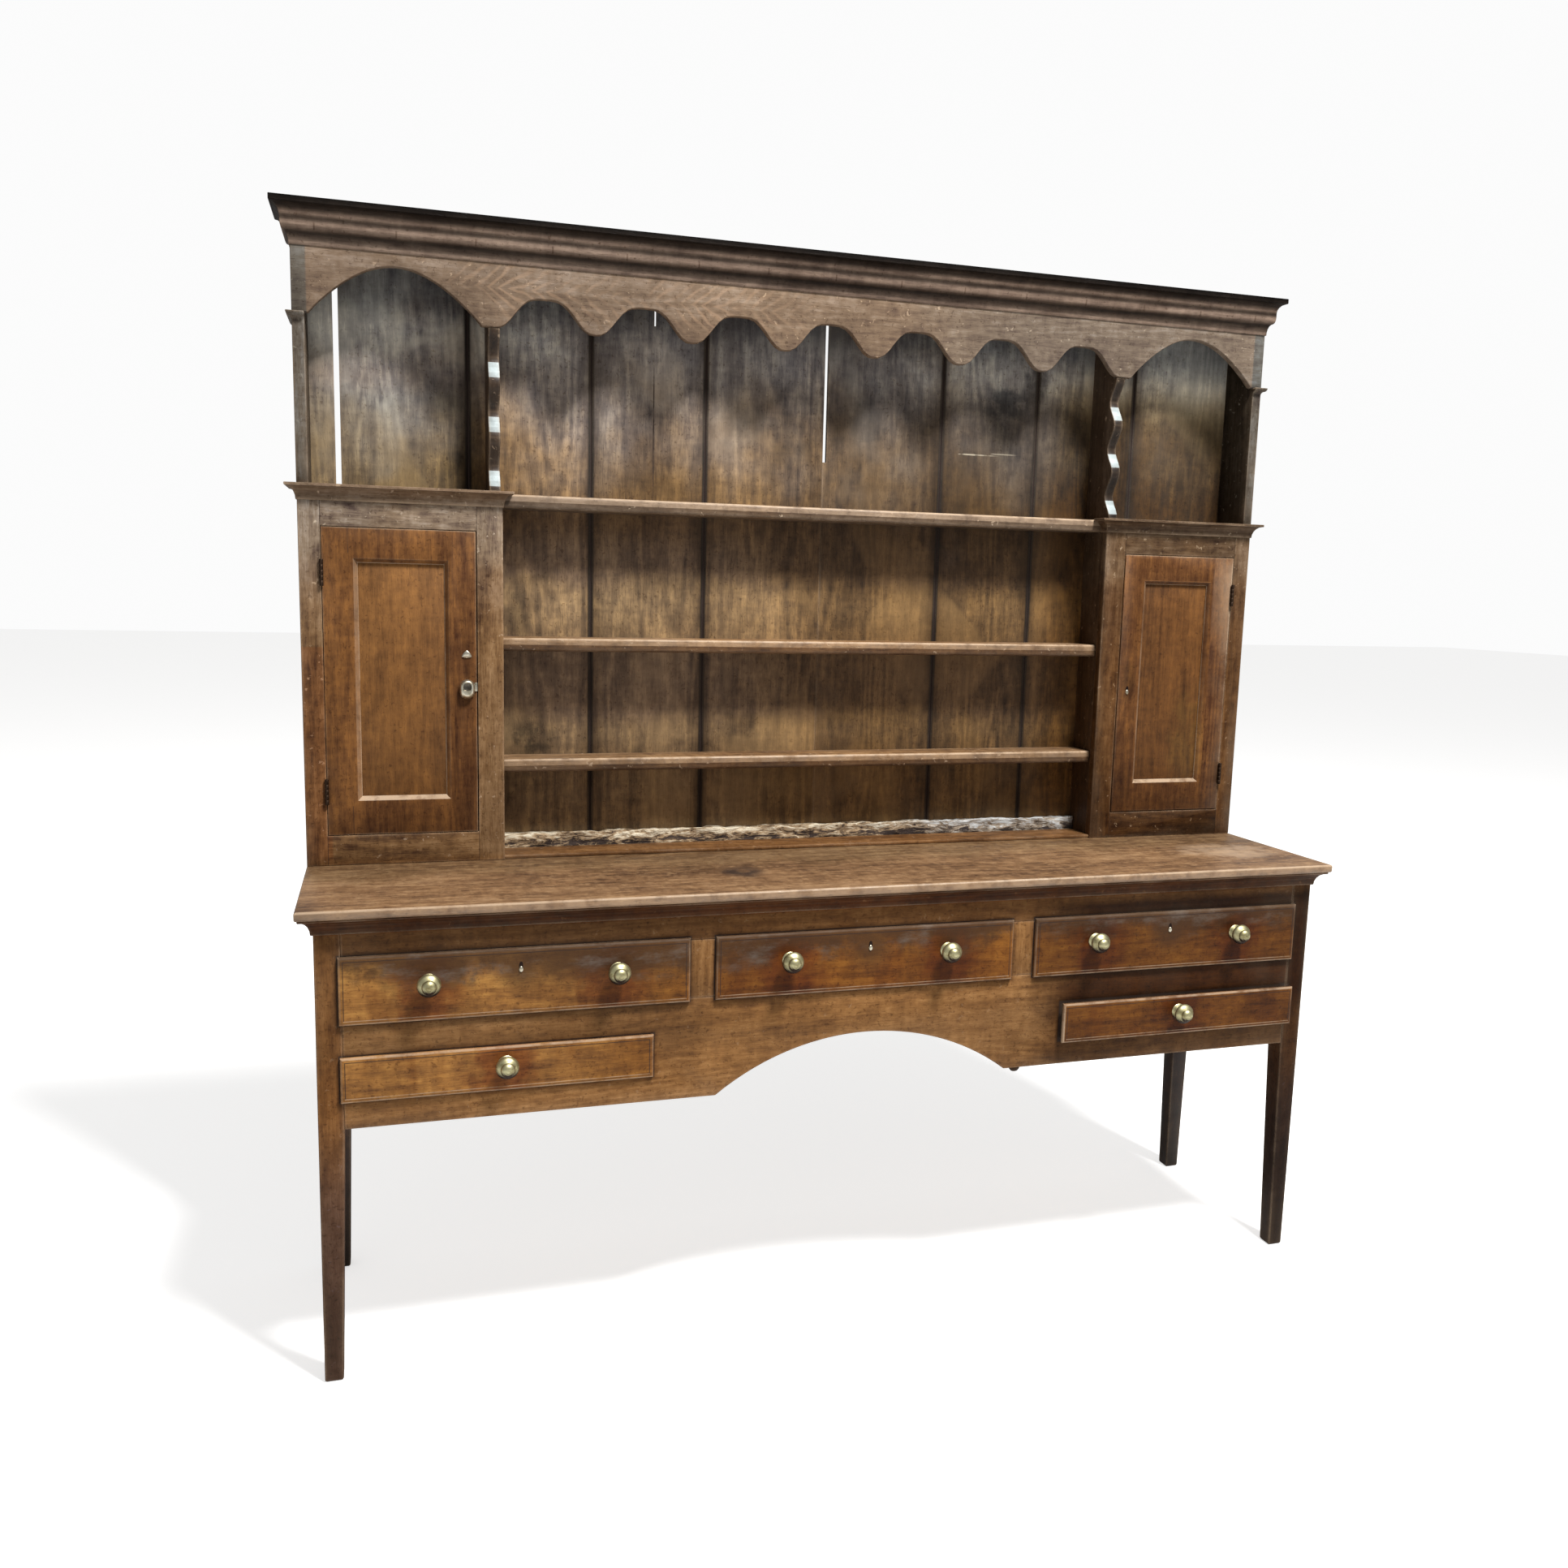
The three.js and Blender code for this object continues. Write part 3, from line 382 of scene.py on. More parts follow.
def edge_wear(name):
    """Where an edge has been rubbed, from 0 to 1, in uneven lengths."""
    tree, given, put = new_group(name, {"Reach": 0.004, "Amount": 1.0}, "Mask")
    rounded = tree.node("ShaderNodeBevel", {"Radius": given["Reach"]}, samples=4)[0]
    flat = tree.node("ShaderNodeNewGeometry")["True Normal"]
    turned = tree.minus(1.0, tree.vector("DOT_PRODUCT", rounded, flat))
    breaks = tree.step(tree.noise(tree.here, 9, 3, 0.6), 0.35, 0.65)
    reach = tree.plus(breaks, tree.noise(tree.here, 160, 2, 0.6), 0.8)
    put("Mask", tree.math("MINIMUM", tree.times(turned, 5.0, reach, given["Amount"]), 0.85))
    return tree.tree


def blotches(name):
    """Uneven patches of old polish, from 0 to 1: broad ones, small ones, and dents and specks."""
    tree, _, put = new_group(name, {}, "Broad", "Small", "Specks")
    put("Broad", tree.step(tree.noise(tree.here, 4, 4, 0.6, 0.3), 0.38, 0.64))
    put("Small", tree.step(tree.noise(tree.here, 26, 4, 0.65), 0.42, 0.68))
    put("Specks", tree.step(tree.noise(tree.here, 170, 2, 0.5, 0.6), 0.62, 0.7))
    return tree.tree


def dust(name):
    """How greyed the wood is, partly as an old dusty film and partly as painted fill light: nothing
    below one height, all of it above another.
    """
    tree, given, put = new_group(name, {"Low": 1.2, "High": 1.6}, "Mask")
    wave = tree.minus(tree.noise(tree.here, 5, 3, 0.6), 0.5)
    put("Mask", tree.step(tree.plus(tree.xyz[2], wave, 0.5), given["Low"], given["High"]))
    return tree.tree


def new_material(name):
    material = bpy.data.materials.new(name)
    material.use_nodes = True
    material.node_tree.nodes.clear()
    return material, Tree(material.node_tree)


def finish_material(material, tree, inputs):
    shader = tree.node("ShaderNodeBsdfPrincipled", inputs)
    tree.node("ShaderNodeOutputMaterial", {"Surface": shader[0]})
    return material


# Finishes

# Tints of old dirt, from brown to black; the first also tints the painted shade in the gaps round
# the drawers
DIRT_AND_SHADE, SOOTY, BLACKENED = (0.42, 0.36, 0.32), (0.3, 0.27, 0.26), (0.4, 0.42, 0.45)

GLOSSY, SATIN, MATT = (0.3, 0.52), (0.4, 0.62), (0.65, 0.85)


def oak(name, tones, wear, gloss, patches, stain, roughness=SATIN, contrast=0.85, rings=0.15):
    """Aged oak. A stain is a function that changes the shade for one kind of piece."""
    material, tree = new_material(name)
    space = tree.group(board_space)
    figure = {"Along": space["Along"], "Rings": rings, "Contrast": contrast}
    grain = tree.group(oak_grain, figure)
    small = tree.patch["Small"]
    light, mid, dark = (rgba(f"{tones}_{tone}") for tone in TONES)
    tree.shade = tree.ramp(grain["Tone"], (0.22, dark), (0.5, mid), (0.8, light))
    dulled = tree.mix(1.0, tree.shade, (0.5, 0.46, 0.44, 1), "MULTIPLY")
    tree.cover(dulled, tree.patch["Broad"], patches)
    tree.cover(dulled, small, 0.3)
    deeper = tree.attribute("deeper")
    value = tree.minus(tree.range(space["Seed"], 0.9, 1.12), deeper)
    tree.shade = tree.node("ShaderNodeHueSaturation", {"Value": value, "Color": tree.shade})[0]
    tree.tint((1.05, 0.8, 0.55), deeper)
    tree.cover(dark, grain["Pores"], 0.5)
    tree.tint(DIRT_AND_SHADE, tree.patch["Specks"], 0.6)
    if stain:
        stain(tree)
    mask = tree.group(edge_wear, {"Reach": sizes().edge_wear, "Amount": wear})["Mask"]
    lip = tree.times(tree.attribute("lip"), tree.range(small, 0.75, 0.25))
    tree.cover(rgba("worn_edge"), tree.math("MAXIMUM", mask, lip))
    joint = tree.attribute("joint")
    tree.cover(rgba("grime"), joint)
    height = tree.minus(grain["Height"], tree.times(joint, 2.0))
    dull = tree.math("MULTIPLY_ADD", small, 0.3, grain["Tone"], clamp=True)
    inputs = {
        "Base Color": tree.shade,
        "Roughness": tree.range(dull, *roughness),
        "Normal": tree.bump(height, 0.35, 0.0008),
        "Specular IOR Level": gloss,
    }
    return finish_material(material, tree, inputs)


def front_stain(tree):
    """Drawer fronts are dark along the top and round the keyholes and knobs."""
    x, _, z = tree.node("ShaderNodeSeparateXYZ", {0: tree.attribute("place", "Vector")})
    small, has_lock = tree.patch["Small"], tree.attribute("has_lock")
    edge = tree.plus(tree.attribute("rise"), small, 0.18)
    edge = tree.plus(edge, tree.patch["Broad"], 0.3)
    top = tree.times((edge, 0.62, 1.05), has_lock)
    beside = tree.minus(tree.size(x), tree.attribute("knob_at"))
    from_knob = tree.plus(tree.distance(beside, tree.times(z, 0.5)), small, 0.03)
    from_hole = tree.distance(x, tree.minus(z, 0.03))
    tree.tint((1.1, 1.26, 1.9), (tree.xyz[0], -0.35, -0.6))
    tree.tint(DIRT_AND_SHADE, (tree.noise(tree.here, (95, 95, 120), 3, 0.6, 0.5), 0.6, 0.7), 0.6)
    runs = tree.noise(tree.here, (16, 16, 5), 3, 0.6, 0.4)
    tree.tint((0.66, 0.52, 0.42), (runs, 0.5, 0.66), 0.5)
    tree.tint((0.56, 0.36, 0.3), (from_knob, 0.09, 0.03), 0.85)
    hole = tree.times((from_hole, 0.07, 0.01), has_lock, 0.8)
    tree.cover(rgba("stain"), tree.math("MAXIMUM", tree.times(top, 0.8), hole))
    clouds = tree.noise(tree.here, (12, 12, 30), 4, 0.7)
    tree.cover(rgba("bloom"), (clouds, 0.47, 0.76), top, 0.42)


def door_stain(tree):
    """The right door is dark round its keyhole, and golden low on its panel."""
    tree.tint(BLACKENED, tree.spot((0.712, -0.1, 1.19), (0.02, 9, 0.05), 0.4), 0.7)
    tree.tint((1.1, 1.4, 1.15), tree.spot((0.87, -0.1, 1.06), (0.05, 9, 0.13)), 0.5)


def leg_stain(tree):
    """The rear legs are greyed, and near black at their feet."""
    tree.tint((0.72, 0.84, 1.0), (tree.xyz[2], 0.84, 0.8))
    tree.tint(BLACKENED, (tree.xyz[2], 0.3, 0.03))


def top_stain(tree):
    """The top board has a dark ring, pale flecks, a painted reflection near its right end, and
    painted shadow along its back.
    """
    flecks = tree.noise(tree.here, (50, 90, 90), 3, 0.6)
    tree.cover(rgba("top_light"), (flecks, 0.54, 0.7), 0.5)
    # Painted shadow along the back of the top, under the rack
    behind = tree.plus(tree.xyz[1], tree.patch["Broad"], 0.05)
    tree.tint((0.78, 0.8, 0.76), (behind, -0.02, 0.09))
    # A painted reflection of the light near the right end
    tree.cover(rgba("worn_edge"), tree.spot((0.86, -0.05, 0.84), (0.12, 0.08, 9)), 0.4)
    tree.tint(DIRT_AND_SHADE, tree.spot((-1.01, -0.2, 0.83), (0.06, 0.07, 0.03)), 0.8)
    tree.tint(DIRT_AND_SHADE, tree.spot((-0.25, -0.04, 0.84), (0.08, 0.03, 9)), 0.4)
    ring = tree.spot((-0.21, -0.058, 0.84), (0.045, 0.055, 9), 0.4)
    hollow = tree.spot((-0.208, -0.05, 0.84), (0.016, 0.018, 9), 0.2)
    ring = tree.minus(ring, tree.times(hollow, 0.6), clamp=True)
    tree.cover(rgba("grime"), ring, 0.9)


def case_stain(tree):
    """The case is greyed high up, by a dusty film and by painted cool light, darker at the right of
    its apron, and near black at its feet; the moulding under the top gets painted shade.
    """
    x, _, z = tree.xyz
    far = tree.size(x)
    rack = tree.step(z, 0.84, 0.86)
    # Greyer and cooler above the base and higher up, as a dusty film and as painted cool light
    tree.tint((0.98, 1.1, 1.35), rack)
    tree.tint((1.02, 1.3, 2.05), tree.group(dust)["Mask"])
    paint = tree.noise(tree.here, 75, 3, 0.7, 0.5)
    tree.cover(rgba("worn_edge"), (paint, 0.64, 0.7), tree.range(rack, 0.1, 0.45))
    low_left = tree.times((z, 0.6, 0.53), (x, 0.1, -0.1))
    tree.tint((1.4, 1.38, 1.32), tree.math("MAXIMUM", tree.times((far, 0.4, 0.2), 0.6), low_left))
    right = tree.plus(x, tree.patch["Broad"], 0.08)
    strength = tree.range(tree.step(z, 0.5, 0.58), 0.52, 0.97)
    tree.tint((0.17, 0.09, 0.02), (right, 0.3, 0.5), (z, 0.79, 0.77), strength)
    # The cupboards' top rails, a patch on the left end, and the moulding under the top, whose
    # darker, redder band is painted shade under the top's overhang
    tree.tint((1.2, 1.35, 1.5), (z, 1.38, 1.43), (z, 1.53, 1.51))
    tree.tint((1.1, 0.75, 0.55), (x, -0.95, -0.955), (z, 1.25, 1.246), rack, 0.6)
    tree.tint((1.05, 0.76, 0.52), (z, 0.79, 0.795), (z, 0.828, 0.824))
    # The right cupboard, the ends beside the niches, and the legs
    tree.tint((0.88, 0.8, 0.7), (x, 0.63, 0.66), (z, 1.52, 1.5), rack)
    tree.tint((0.6, 0.74, 0.88), (far, 0.972, 0.976), (z, 1.53, 1.55))
    tree.tint((0.66, 0.78, 1.5), (z, 0.5, 0.3))
    tree.tint((0.3, 0.27, 0.27), (z, 0.58, 0.05), 0.92)


def apron_stain(tree):
    """Painted shade darkens the case in the gaps round the lips of the drawers, over scattered
    dirt.
    """
    case_stain(tree)
    nearest = 1.0
    for node in named("drawer_front_"):
        low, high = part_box(node)
        middle, half = (low + high) / 2, (high - low) / 2
        past = (
            tree.minus(tree.size(tree.minus(tree.xyz[axis], middle[axis])), half[axis])
            for axis in (0, 2)
        )
        nearest = tree.math("MINIMUM", tree.math("MAXIMUM", *past), nearest)
    tree.tint(DIRT_AND_SHADE, (tree.noise(tree.here, (95, 95, 120), 3, 0.6, 0.5), 0.58, 0.68), 0.55)
    # Painted shade in the gaps round the drawers: a soft dark ring, and a near black line at their
    # edges
    tree.tint(DIRT_AND_SHADE, (tree.plus(nearest, tree.patch["Small"], 0.004), 0.012, 0.001), 0.8)
    tree.cover(rgba("grime"), (nearest, 0.0035, 0.001))


# The arrowheads in the frieze: the height they point along, and how far one is from the next
ARROWS_HEIGHT, ARROWS_APART = 1.905, 0.027


def frieze_stain(tree):
    """The frieze shows the nested arrowheads of a board sawn through its middle."""
    case_stain(tree)
    wave = tree.noise(tree.here, 9, 3, 0.55)
    x, _, z = tree.xyz
    off = tree.size(tree.minus(z, ARROWS_HEIGHT))
    lean = tree.minus(x, tree.times(tree.math("POWER", off, 0.8), 0.7))
    turns = tree.times(tree.plus(lean, wave, 0.09), 2 * math.pi / ARROWS_APART)
    from_middle = tree.size(tree.math("ADD", x, 0.4))
    near = ((off, 0.075, 0.02), (wave, 0.35, 0.6), (from_middle, 0.45, 0.2))
    tree.cover(rgba("frieze_line"), (tree.math("SINE", turns), 0.0, 1.0), *near, 0.2)
    tree.tint((1.1, 1.22, 1.35), (tree.plus(x, wave, 0.3), 0.2, 0.6))


# Painted light and shade across the cornice's profile, as how light it is at shares of its height:
# foot, bead, quirk, step, cove and fascia
CORNICE_SHADING_BANDS = (
    *((0.0, 1.0), (0.06, 0.9), (0.1, 0.5), (0.18, 0.46), (0.24, 0.2), (0.275, 0.15), (0.3, 0.3)),
    *((0.34, 0.75), (0.375, 1.1), (0.45, 0.95), (0.49, 0.75), (0.53, 0.4), (0.57, 0.33)),
    *((0.61, 0.75), (0.65, 1.5), (0.68, 1.5), (0.71, 0.85), (0.745, 0.4), (0.78, 0.17)),
    *((0.82, 0.14), (0.87, 0.06), (1.0, 0.01)),
)


def cornice_stain(tree):
    """Bands of painted light and shade run along the cornice, near black along its top and pale on
    its bead; it is split here and there.
    """
    low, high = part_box("cornice")
    x, _, z = tree.xyz
    height = tree.math("DIVIDE", tree.minus(z, low.z), high.z - low.z)
    bands = tree.ramp(height, *((at, (value, value, value, 1)) for at, value in CORNICE_SHADING_BANDS))
    tree.shade = tree.mix(1.0, tree.shade, bands, "MULTIPLY")
    split = tree.math("FRACT", tree.times(x, 7.3))
    tree.tint(DIRT_AND_SHADE, (split, 0.03, 0.01), (height, 0.3, 0.34), (height, 0.5, 0.46), 0.7)


def upright_stain(tree):
    """The scallops of the inner uprights get a painted highlight where they face up."""
    case_stain(tree)
    # Small patches break up the painted highlight
    rubbed = tree.range(tree.patch["Small"], 1.0, 0.7)
    tree.cover(rgba("gleam"), tree.attribute("bare"), rubbed)


def board_joints():
    """Where the joints between backboards are across the rack."""
    places = set()
    for end in ENDS:
        node = f"backboards_{end}"
        low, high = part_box(node)
        corners = [corner.co for corner in frame["nodes"][node].data.vertices]
        places |= {round(co.x, 3) for co in corners if low.y + MM < co.y < high.y - MM}
    return sorted(places)


# Dark marks on the backboards as (middle, reach, strength), then pale scratches, then a crack
BACK_MARKS = (
    ((0.434, 0, 1.775), (0.06, 9, 0.045), 0.85),
    ((0.5, 0, 1.83), (0.035, 9, 0.05), 0.7),
    ((-0.575, 0, 1.06), (0.05, 9, 0.04), 0.8),
    ((-0.6, 0, 1.31), (0.025, 9, 0.06), 0.4),
    ((-0.05, 0, 1.7), (0.06, 9, 0.08), 0.4),
    ((0.12, 0, 1.72), (0.05, 9, 0.07), 0.5),
)
BACK_SCRATCHES = (
    ((0.36, 0, 1.668), (0.05, 9, 0.0016)),
    ((0.43, 0, 1.672), (0.03, 9, 0.0012)),
)
BACK_CRACK = ((-0.335, 0, 1.66), (0.0016, 9, 0.16))


def back_stain(tree):
    """Backboards are grey high up, as a dusty film and as painted fill light, with painted shadow
    under the shelves and the frieze and painted light at both ends high up; they are dark beside
    their joints, and marked and scratched.
    """
    x, y, z = tree.xyz
    small = tree.patch["Small"]
    low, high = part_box("backboards_left")
    front = tree.step(y, high.y, low.y)
    ochre = tree.noise(tree.here, (7, 7, 5), 3, 0.55, 0.4)
    tree.cover(rgba("back_light"), (ochre, 0.5, 0.62), 0.3)
    # Greyer and lighter high up, as a dusty film and as painted fill light in the top bay
    tree.tint((1.6, 2.5, 5.6), tree.group(dust, {"Low": 1.5, "High": 1.92})["Mask"])
    # The right of the top bay, the two niches, the left of the lower bays, and both ends high up,
    # where painted light lifts the frieze's shadow
    tree.tint((0.36, 0.34, 0.31), (x, -0.35, 0.4), (z, 1.3, 1.58), (z, 1.85, 1.7))
    tree.tint((0.77, 0.86, 0.9), (x, -0.66, -0.7), (z, 1.76, 1.7))
    tree.tint((0.8, 0.66, 0.42), (x, 0.5, 0.6), (z, 1.9, 1.75))
    tree.tint((1.42, 1.6, 2.0), (x, 0.05, -0.3), (z, 1.5, 1.42))
    from_middle = tree.size(tree.math("ADD", x, 0.15))
    tree.tint((2.1, 2.2, 2.15), (from_middle, 0.3, 0.45), (z, 1.74, 1.84))
    # Painted shadow on the backboards under each shelf, fading out lower down
    for shelf in ("shelf_top", "shelf_middle"):
        under = tree.plus(tree.minus(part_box(shelf)[0].z, z), tree.patch["Broad"], 0.03)
        tree.tint((0.74, 0.74, 0.9), (under, -0.005, 0.005), (under, 0.17, 0.12), front)
    # Painted shadow under the frieze, along the top of the backboards
    tree.tint((0.42, 0.44, 0.47), (z, 1.83, 1.9), front)
    nearest = 1.0
    for joint in board_joints():
        nearest = tree.math("MINIMUM", tree.size(tree.minus(x, joint)), nearest)
    low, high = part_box("base_top")
    nearest = tree.math("ADD", nearest, tree.step(z, high.z, low.z))
    tree.tint(SOOTY, (tree.plus(nearest, small, 0.01), 0.035, 0.002), 0.75)
    tree.cover((0.008, 0.006, 0.005, 1), (nearest, 0.008, 0.003))
    for middle, reach, strength in BACK_MARKS:
        tree.tint((0.1, 0.12, 0.16), tree.spot(middle, reach), strength, front)
    for middle, reach in BACK_SCRATCHES:
        tree.cover(rgba("worn_light"), tree.spot(middle, reach, 1.4), 0.45, front)
    tree.cover(rgba("grime"), tree.spot(*BACK_CRACK), front)


def worm_eaten(name):
    """Whitened oak full of dark hollows."""
    material, tree = new_material(name)
    along = tree.group(board_space)["Along"]
    grain = tree.group(oak_grain, {"Along": along})
    tone = tree.noise(along, (28, 110, 110), 4, 0.7, 1.0)
    tone = tree.plus(tone, tree.minus(grain["Tone"], 0.5), 0.3)
    broad = tree.noise(tree.here, 9, 3, 0.6)
    tone = tree.plus(tone, tree.minus(broad, 0.5), 0.35)
    tone = tree.plus(tone, tree.step(tree.attribute("rise"), 0.8, 0.35), -0.14)
    stops = zip((0.32, 0.44, 0.58), (rgba(f"worn_{shade}") for shade in reversed(TONES)))
    tree.shade = tree.ramp(tone, *stops)
    tree.tint((0.82, 0.95, 1.25), (tree.plus(tree.xyz[0], broad, 0.3), 0.25, 0.5))
    normal = tree.bump(tree.math("ADD", tone, tree.times(grain["Height"], 0.2)), 0.9, 0.004)
    inputs = {"Base Color": tree.shade, "Roughness": 0.9, "Normal": normal}
    return finish_material(material, tree, inputs)


def metal(name, bright, dull, roughness):
    """Old metal, brighter where it is handled."""
    material, tree = new_material(name)
    tarnish = tree.noise(tree.here, 60, 4, 0.65, 0.4)
    scratches = tree.noise(tree.here, 900, 2, 0.6)
    tree.shade = tree.mix(tree.times((tarnish, 0.42, 0.72), 0.8), rgba(bright), rgba(dull))
    # The hollow mark lays painted shade under the knobs and in the keyholes; elsewhere it dulls the
    # pin, the keeper and the cover, and darkens the catch's dish
    tree.cover(rgba("grime"), tree.attribute("hollow"))
    inputs = {
        "Base Color": tree.shade,
        "Metallic": 1.0,
        "Roughness": tree.plus(tree.range(tarnish, *roughness), scratches, 0.14),
        "Normal": tree.bump(scratches, 0.15, 0.0002),
    }
    return finish_material(material, tree, inputs)


# The slot that each finish fills, how it is made, and with what. For oak this is its tones, wear,
# gloss, patches, stain, roughness, contrast and rings.
FINISHES = {
    "case_oak": ("oak_case", oak, "case", 0.35, 0.06, 0.5, case_stain),
    "apron_oak": ("oak_case", oak, "case", 0.35, 0.06, 0.5, apron_stain, SATIN, 0.6),
    "frieze_oak": ("oak_case", oak, "case", 0.1, 0.15, 0.25, frieze_stain, SATIN, 0.6),
    "shelf_oak": ("oak_case", oak, "case", 0.8, 0.25, 0.5, case_stain),
    "upright_oak": ("oak_case", oak, "case", 0.4, 0.25, 0.5, upright_stain),
    "top_oak": ("oak_top", oak, "top", 0.8, 0.4, 0.35, top_stain, GLOSSY),
    "front_oak": ("oak_warm", oak, "warm", 0.3, 0.12, 0.65, front_stain, SATIN, 0.7),
    "door_oak": ("oak_warm", oak, "door", 0.2, 0.08, 0.5, door_stain),
    "panel_oak": ("oak_warm", oak, "panel", 0.1, 0.15, 0.3, door_stain, SATIN, 0.7),
    "back_oak": ("oak_back", oak, "back", 0.2, 0.15, 0.45, back_stain, MATT, 0.65, 0.22),
    "leg_oak": ("oak_dark", oak, "cornice", 0.4, 0.25, 0.5, leg_stain),
    "cornice_oak": ("oak_dark", oak, "bead", 0, 0.05, 0.5, cornice_stain),
    "raw_oak": ("oak_raw", oak, "raw", 0.2, 0.15, 0.5, None, (0.7, 0.9)),
    "worm_oak": ("oak_worn", worm_eaten),
    "handled_brass": ("old_brass", metal, "brass", "brass_dull", (0.28, 0.5)),
    "pale_brass": ("old_brass", metal, "brass_pale", "brass_dull", (0.2, 0.4)),
    "black_iron": ("old_iron", metal, "iron", "iron", (0.4, 0.65)),
}


# Modelling by hand


def only(piece):
    """Leaves this piece alone selected and active."""
    bpy.ops.object.select_all(action="DESELECT")
    piece.select_set(True)
    bpy.context.view_layer.objects.active = piece


@contextmanager
def editing(piece):
    """Edit mode, with all of the piece selected."""
    only(piece)
    bpy.ops.object.mode_set(mode="EDIT")
    bpy.ops.mesh.select_mode(type="VERT")
    bpy.ops.mesh.select_all(action="SELECT")
    yield
    bpy.ops.object.mode_set(mode="OBJECT")


def add(name, data):
    piece = bpy.data.objects.new(name, data)
    bpy.context.scene.collection.objects.link(piece)
    return piece


def drop(piece):
    mesh = piece.data
    bpy.data.objects.remove(piece)
    bpy.data.meshes.remove(mesh)


def copy_of(node):
    """A copy of a solid with shared corners and whole faces."""
    mesh = frame["nodes"][node].data.copy()
    mesh.materials.clear()
    piece = add(node + "_worn", mesh)
    with editing(piece):
        bpy.ops.mesh.remove_doubles(threshold=0.02 * MM)
        bpy.ops.mesh.dissolve_limited(angle_limit=math.radians(0.5))
    return piece


def bounds_of(piece):
    corners = [corner.co for corner in piece.data.vertices]
    return [Vector([end(c[i] for c in corners) for i in range(3)]) for end in (min, max)]


def modify(piece, kind, **settings):
    """Adds a modifier and applies it."""
    only(piece)
    modifier = piece.modifiers.new("worn", kind)
    for name, value in settings.items():
        setattr(modifier, name, value)
    bpy.ops.object.modifier_apply(modifier=modifier.name)


def round_edges(piece, width, segments=2):
    corner = math.radians(30)
    modify(piece, "BEVEL", width=width, segments=segments, limit_method="ANGLE", angle_limit=corner)


def smooth(piece, angle=40):
    only(piece)
    bpy.ops.object.shade_smooth_by_angle(angle=math.radians(angle))


def cut_across(piece, axis, position, width=0.0):
    """Cuts a piece's faces where they cross a plane, or the two planes of a strip that wide."""
    for side in (-0.5, 0.5) if width else (0,):
        point, normal = Vector(), Vector()
        point[axis], normal[axis] = position + side * width, 1
        with editing(piece):
            bpy.ops.mesh.bisect(plane_co=point, plane_no=normal)


def set_faces(piece, name, value):
    """An attribute of a piece's faces. Its value is a number, or a function of a face."""
    mesh = piece.data
    made = mesh.attributes.get(name) or mesh.attributes.new(name, "FLOAT", "FACE")
    values = [float(value(face) if callable(value) else value) for face in mesh.polygons]
    made.data.foreach_set("value", values)


def seed_of(name):
    """A share from 0 to 1 that stays the same for a name."""
    return sum((i + 1) * ord(letter) for i, letter in enumerate(name)) * 0.618034 % 1


# How much darker some pieces are than others of the same finish, as a share
DEEPER = {
    "drawer_front_upper_left": 0.05,
    "drawer_front_upper_centre": 0.54,
    "drawer_front_upper_right": 0.6,
    "drawer_front_lower_right": 0.55,
    # The base moulding and the front top rail are darkened as painted shade under the top board's
    # overhang
    "base_moulding": 0.68,
    "front_top_rail": 0.37,
    "leg_front_left": 0.37,
    "leg_front_right": 0.4,
    "leg_rear_right": 0.2,
    "cupboard_frame_right": 0.48,
    "rack_floor_board": 0.4,
    "door_frame_left": 0.2,
    "door_frame_right": 0.3,
    "door_panel_left": 0.25,
    "door_panel_right": 0.55,
    "cupboard_top_left": 0.35,
    "cupboard_top_right": 0.55,
}


def mark_board(piece, axis, seed=None):
    """Gives a piece the direction of its grain, its own seed, and where its corners are in it."""
    low, high = bounds_of(piece)
    middle = (low + high) / 2
    set_faces(piece, "grain_axis", axis)
    set_faces(piece, "board_seed", seed or seed_of(piece.name))
    set_faces(piece, "deeper", DEEPER.get(piece.name.removesuffix("_worn"), 0))
    corners = [corner.co.copy() for corner in piece.data.vertices]
    place = piece.data.attributes.new("place", "FLOAT_VECTOR", "POINT")
    place.data.foreach_set("vector", [c for co in corners for c in co - middle])
    rise = piece.data.attributes.new("rise", "FLOAT", "POINT")
    rise.data.foreach_set("value", [(co.z - low.z) / (high.z - low.z) for co in corners])


def put_on(piece, finish, body="root", node=None, slot=None, **marks):
    """Gives a piece its finish and the body it moves with, and hides the solid that it stands for.

    The marks are attributes of its faces, each a number or a function of a face.
    """
    for name, value in marks.items():
        set_faces(piece, name, value)
    own_slot, make, *values = FINISHES[finish]
    piece.data.materials.clear()
    piece.data.materials.append(bpy.data.materials.get(finish) or make(finish, *values))
    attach(piece, body)
    if node:
        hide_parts(node)
    return piece


def worn_board(node, axis, finish, body="root", width=None, segments=2, **marks):
    """A solid's copy with worn edges, as one board."""
    piece = copy_of(node)
    round_edges(piece, width or sizes().edge_round, segments)
    mark_board(piece, axis)
    smooth(piece)
    return put_on(piece, finish, body, node, **marks)


# How wide the edges of mouldings and drawer trays are worn
CRISP = 0.8 * MM


def crisp_board(node, axis, finish, width=CRISP, **marks):
    """A solid's copy whose edges are hardly worn, so that its mouldings stay crisp."""
    return worn_board(node, axis, finish, width=width, segments=1, **marks)


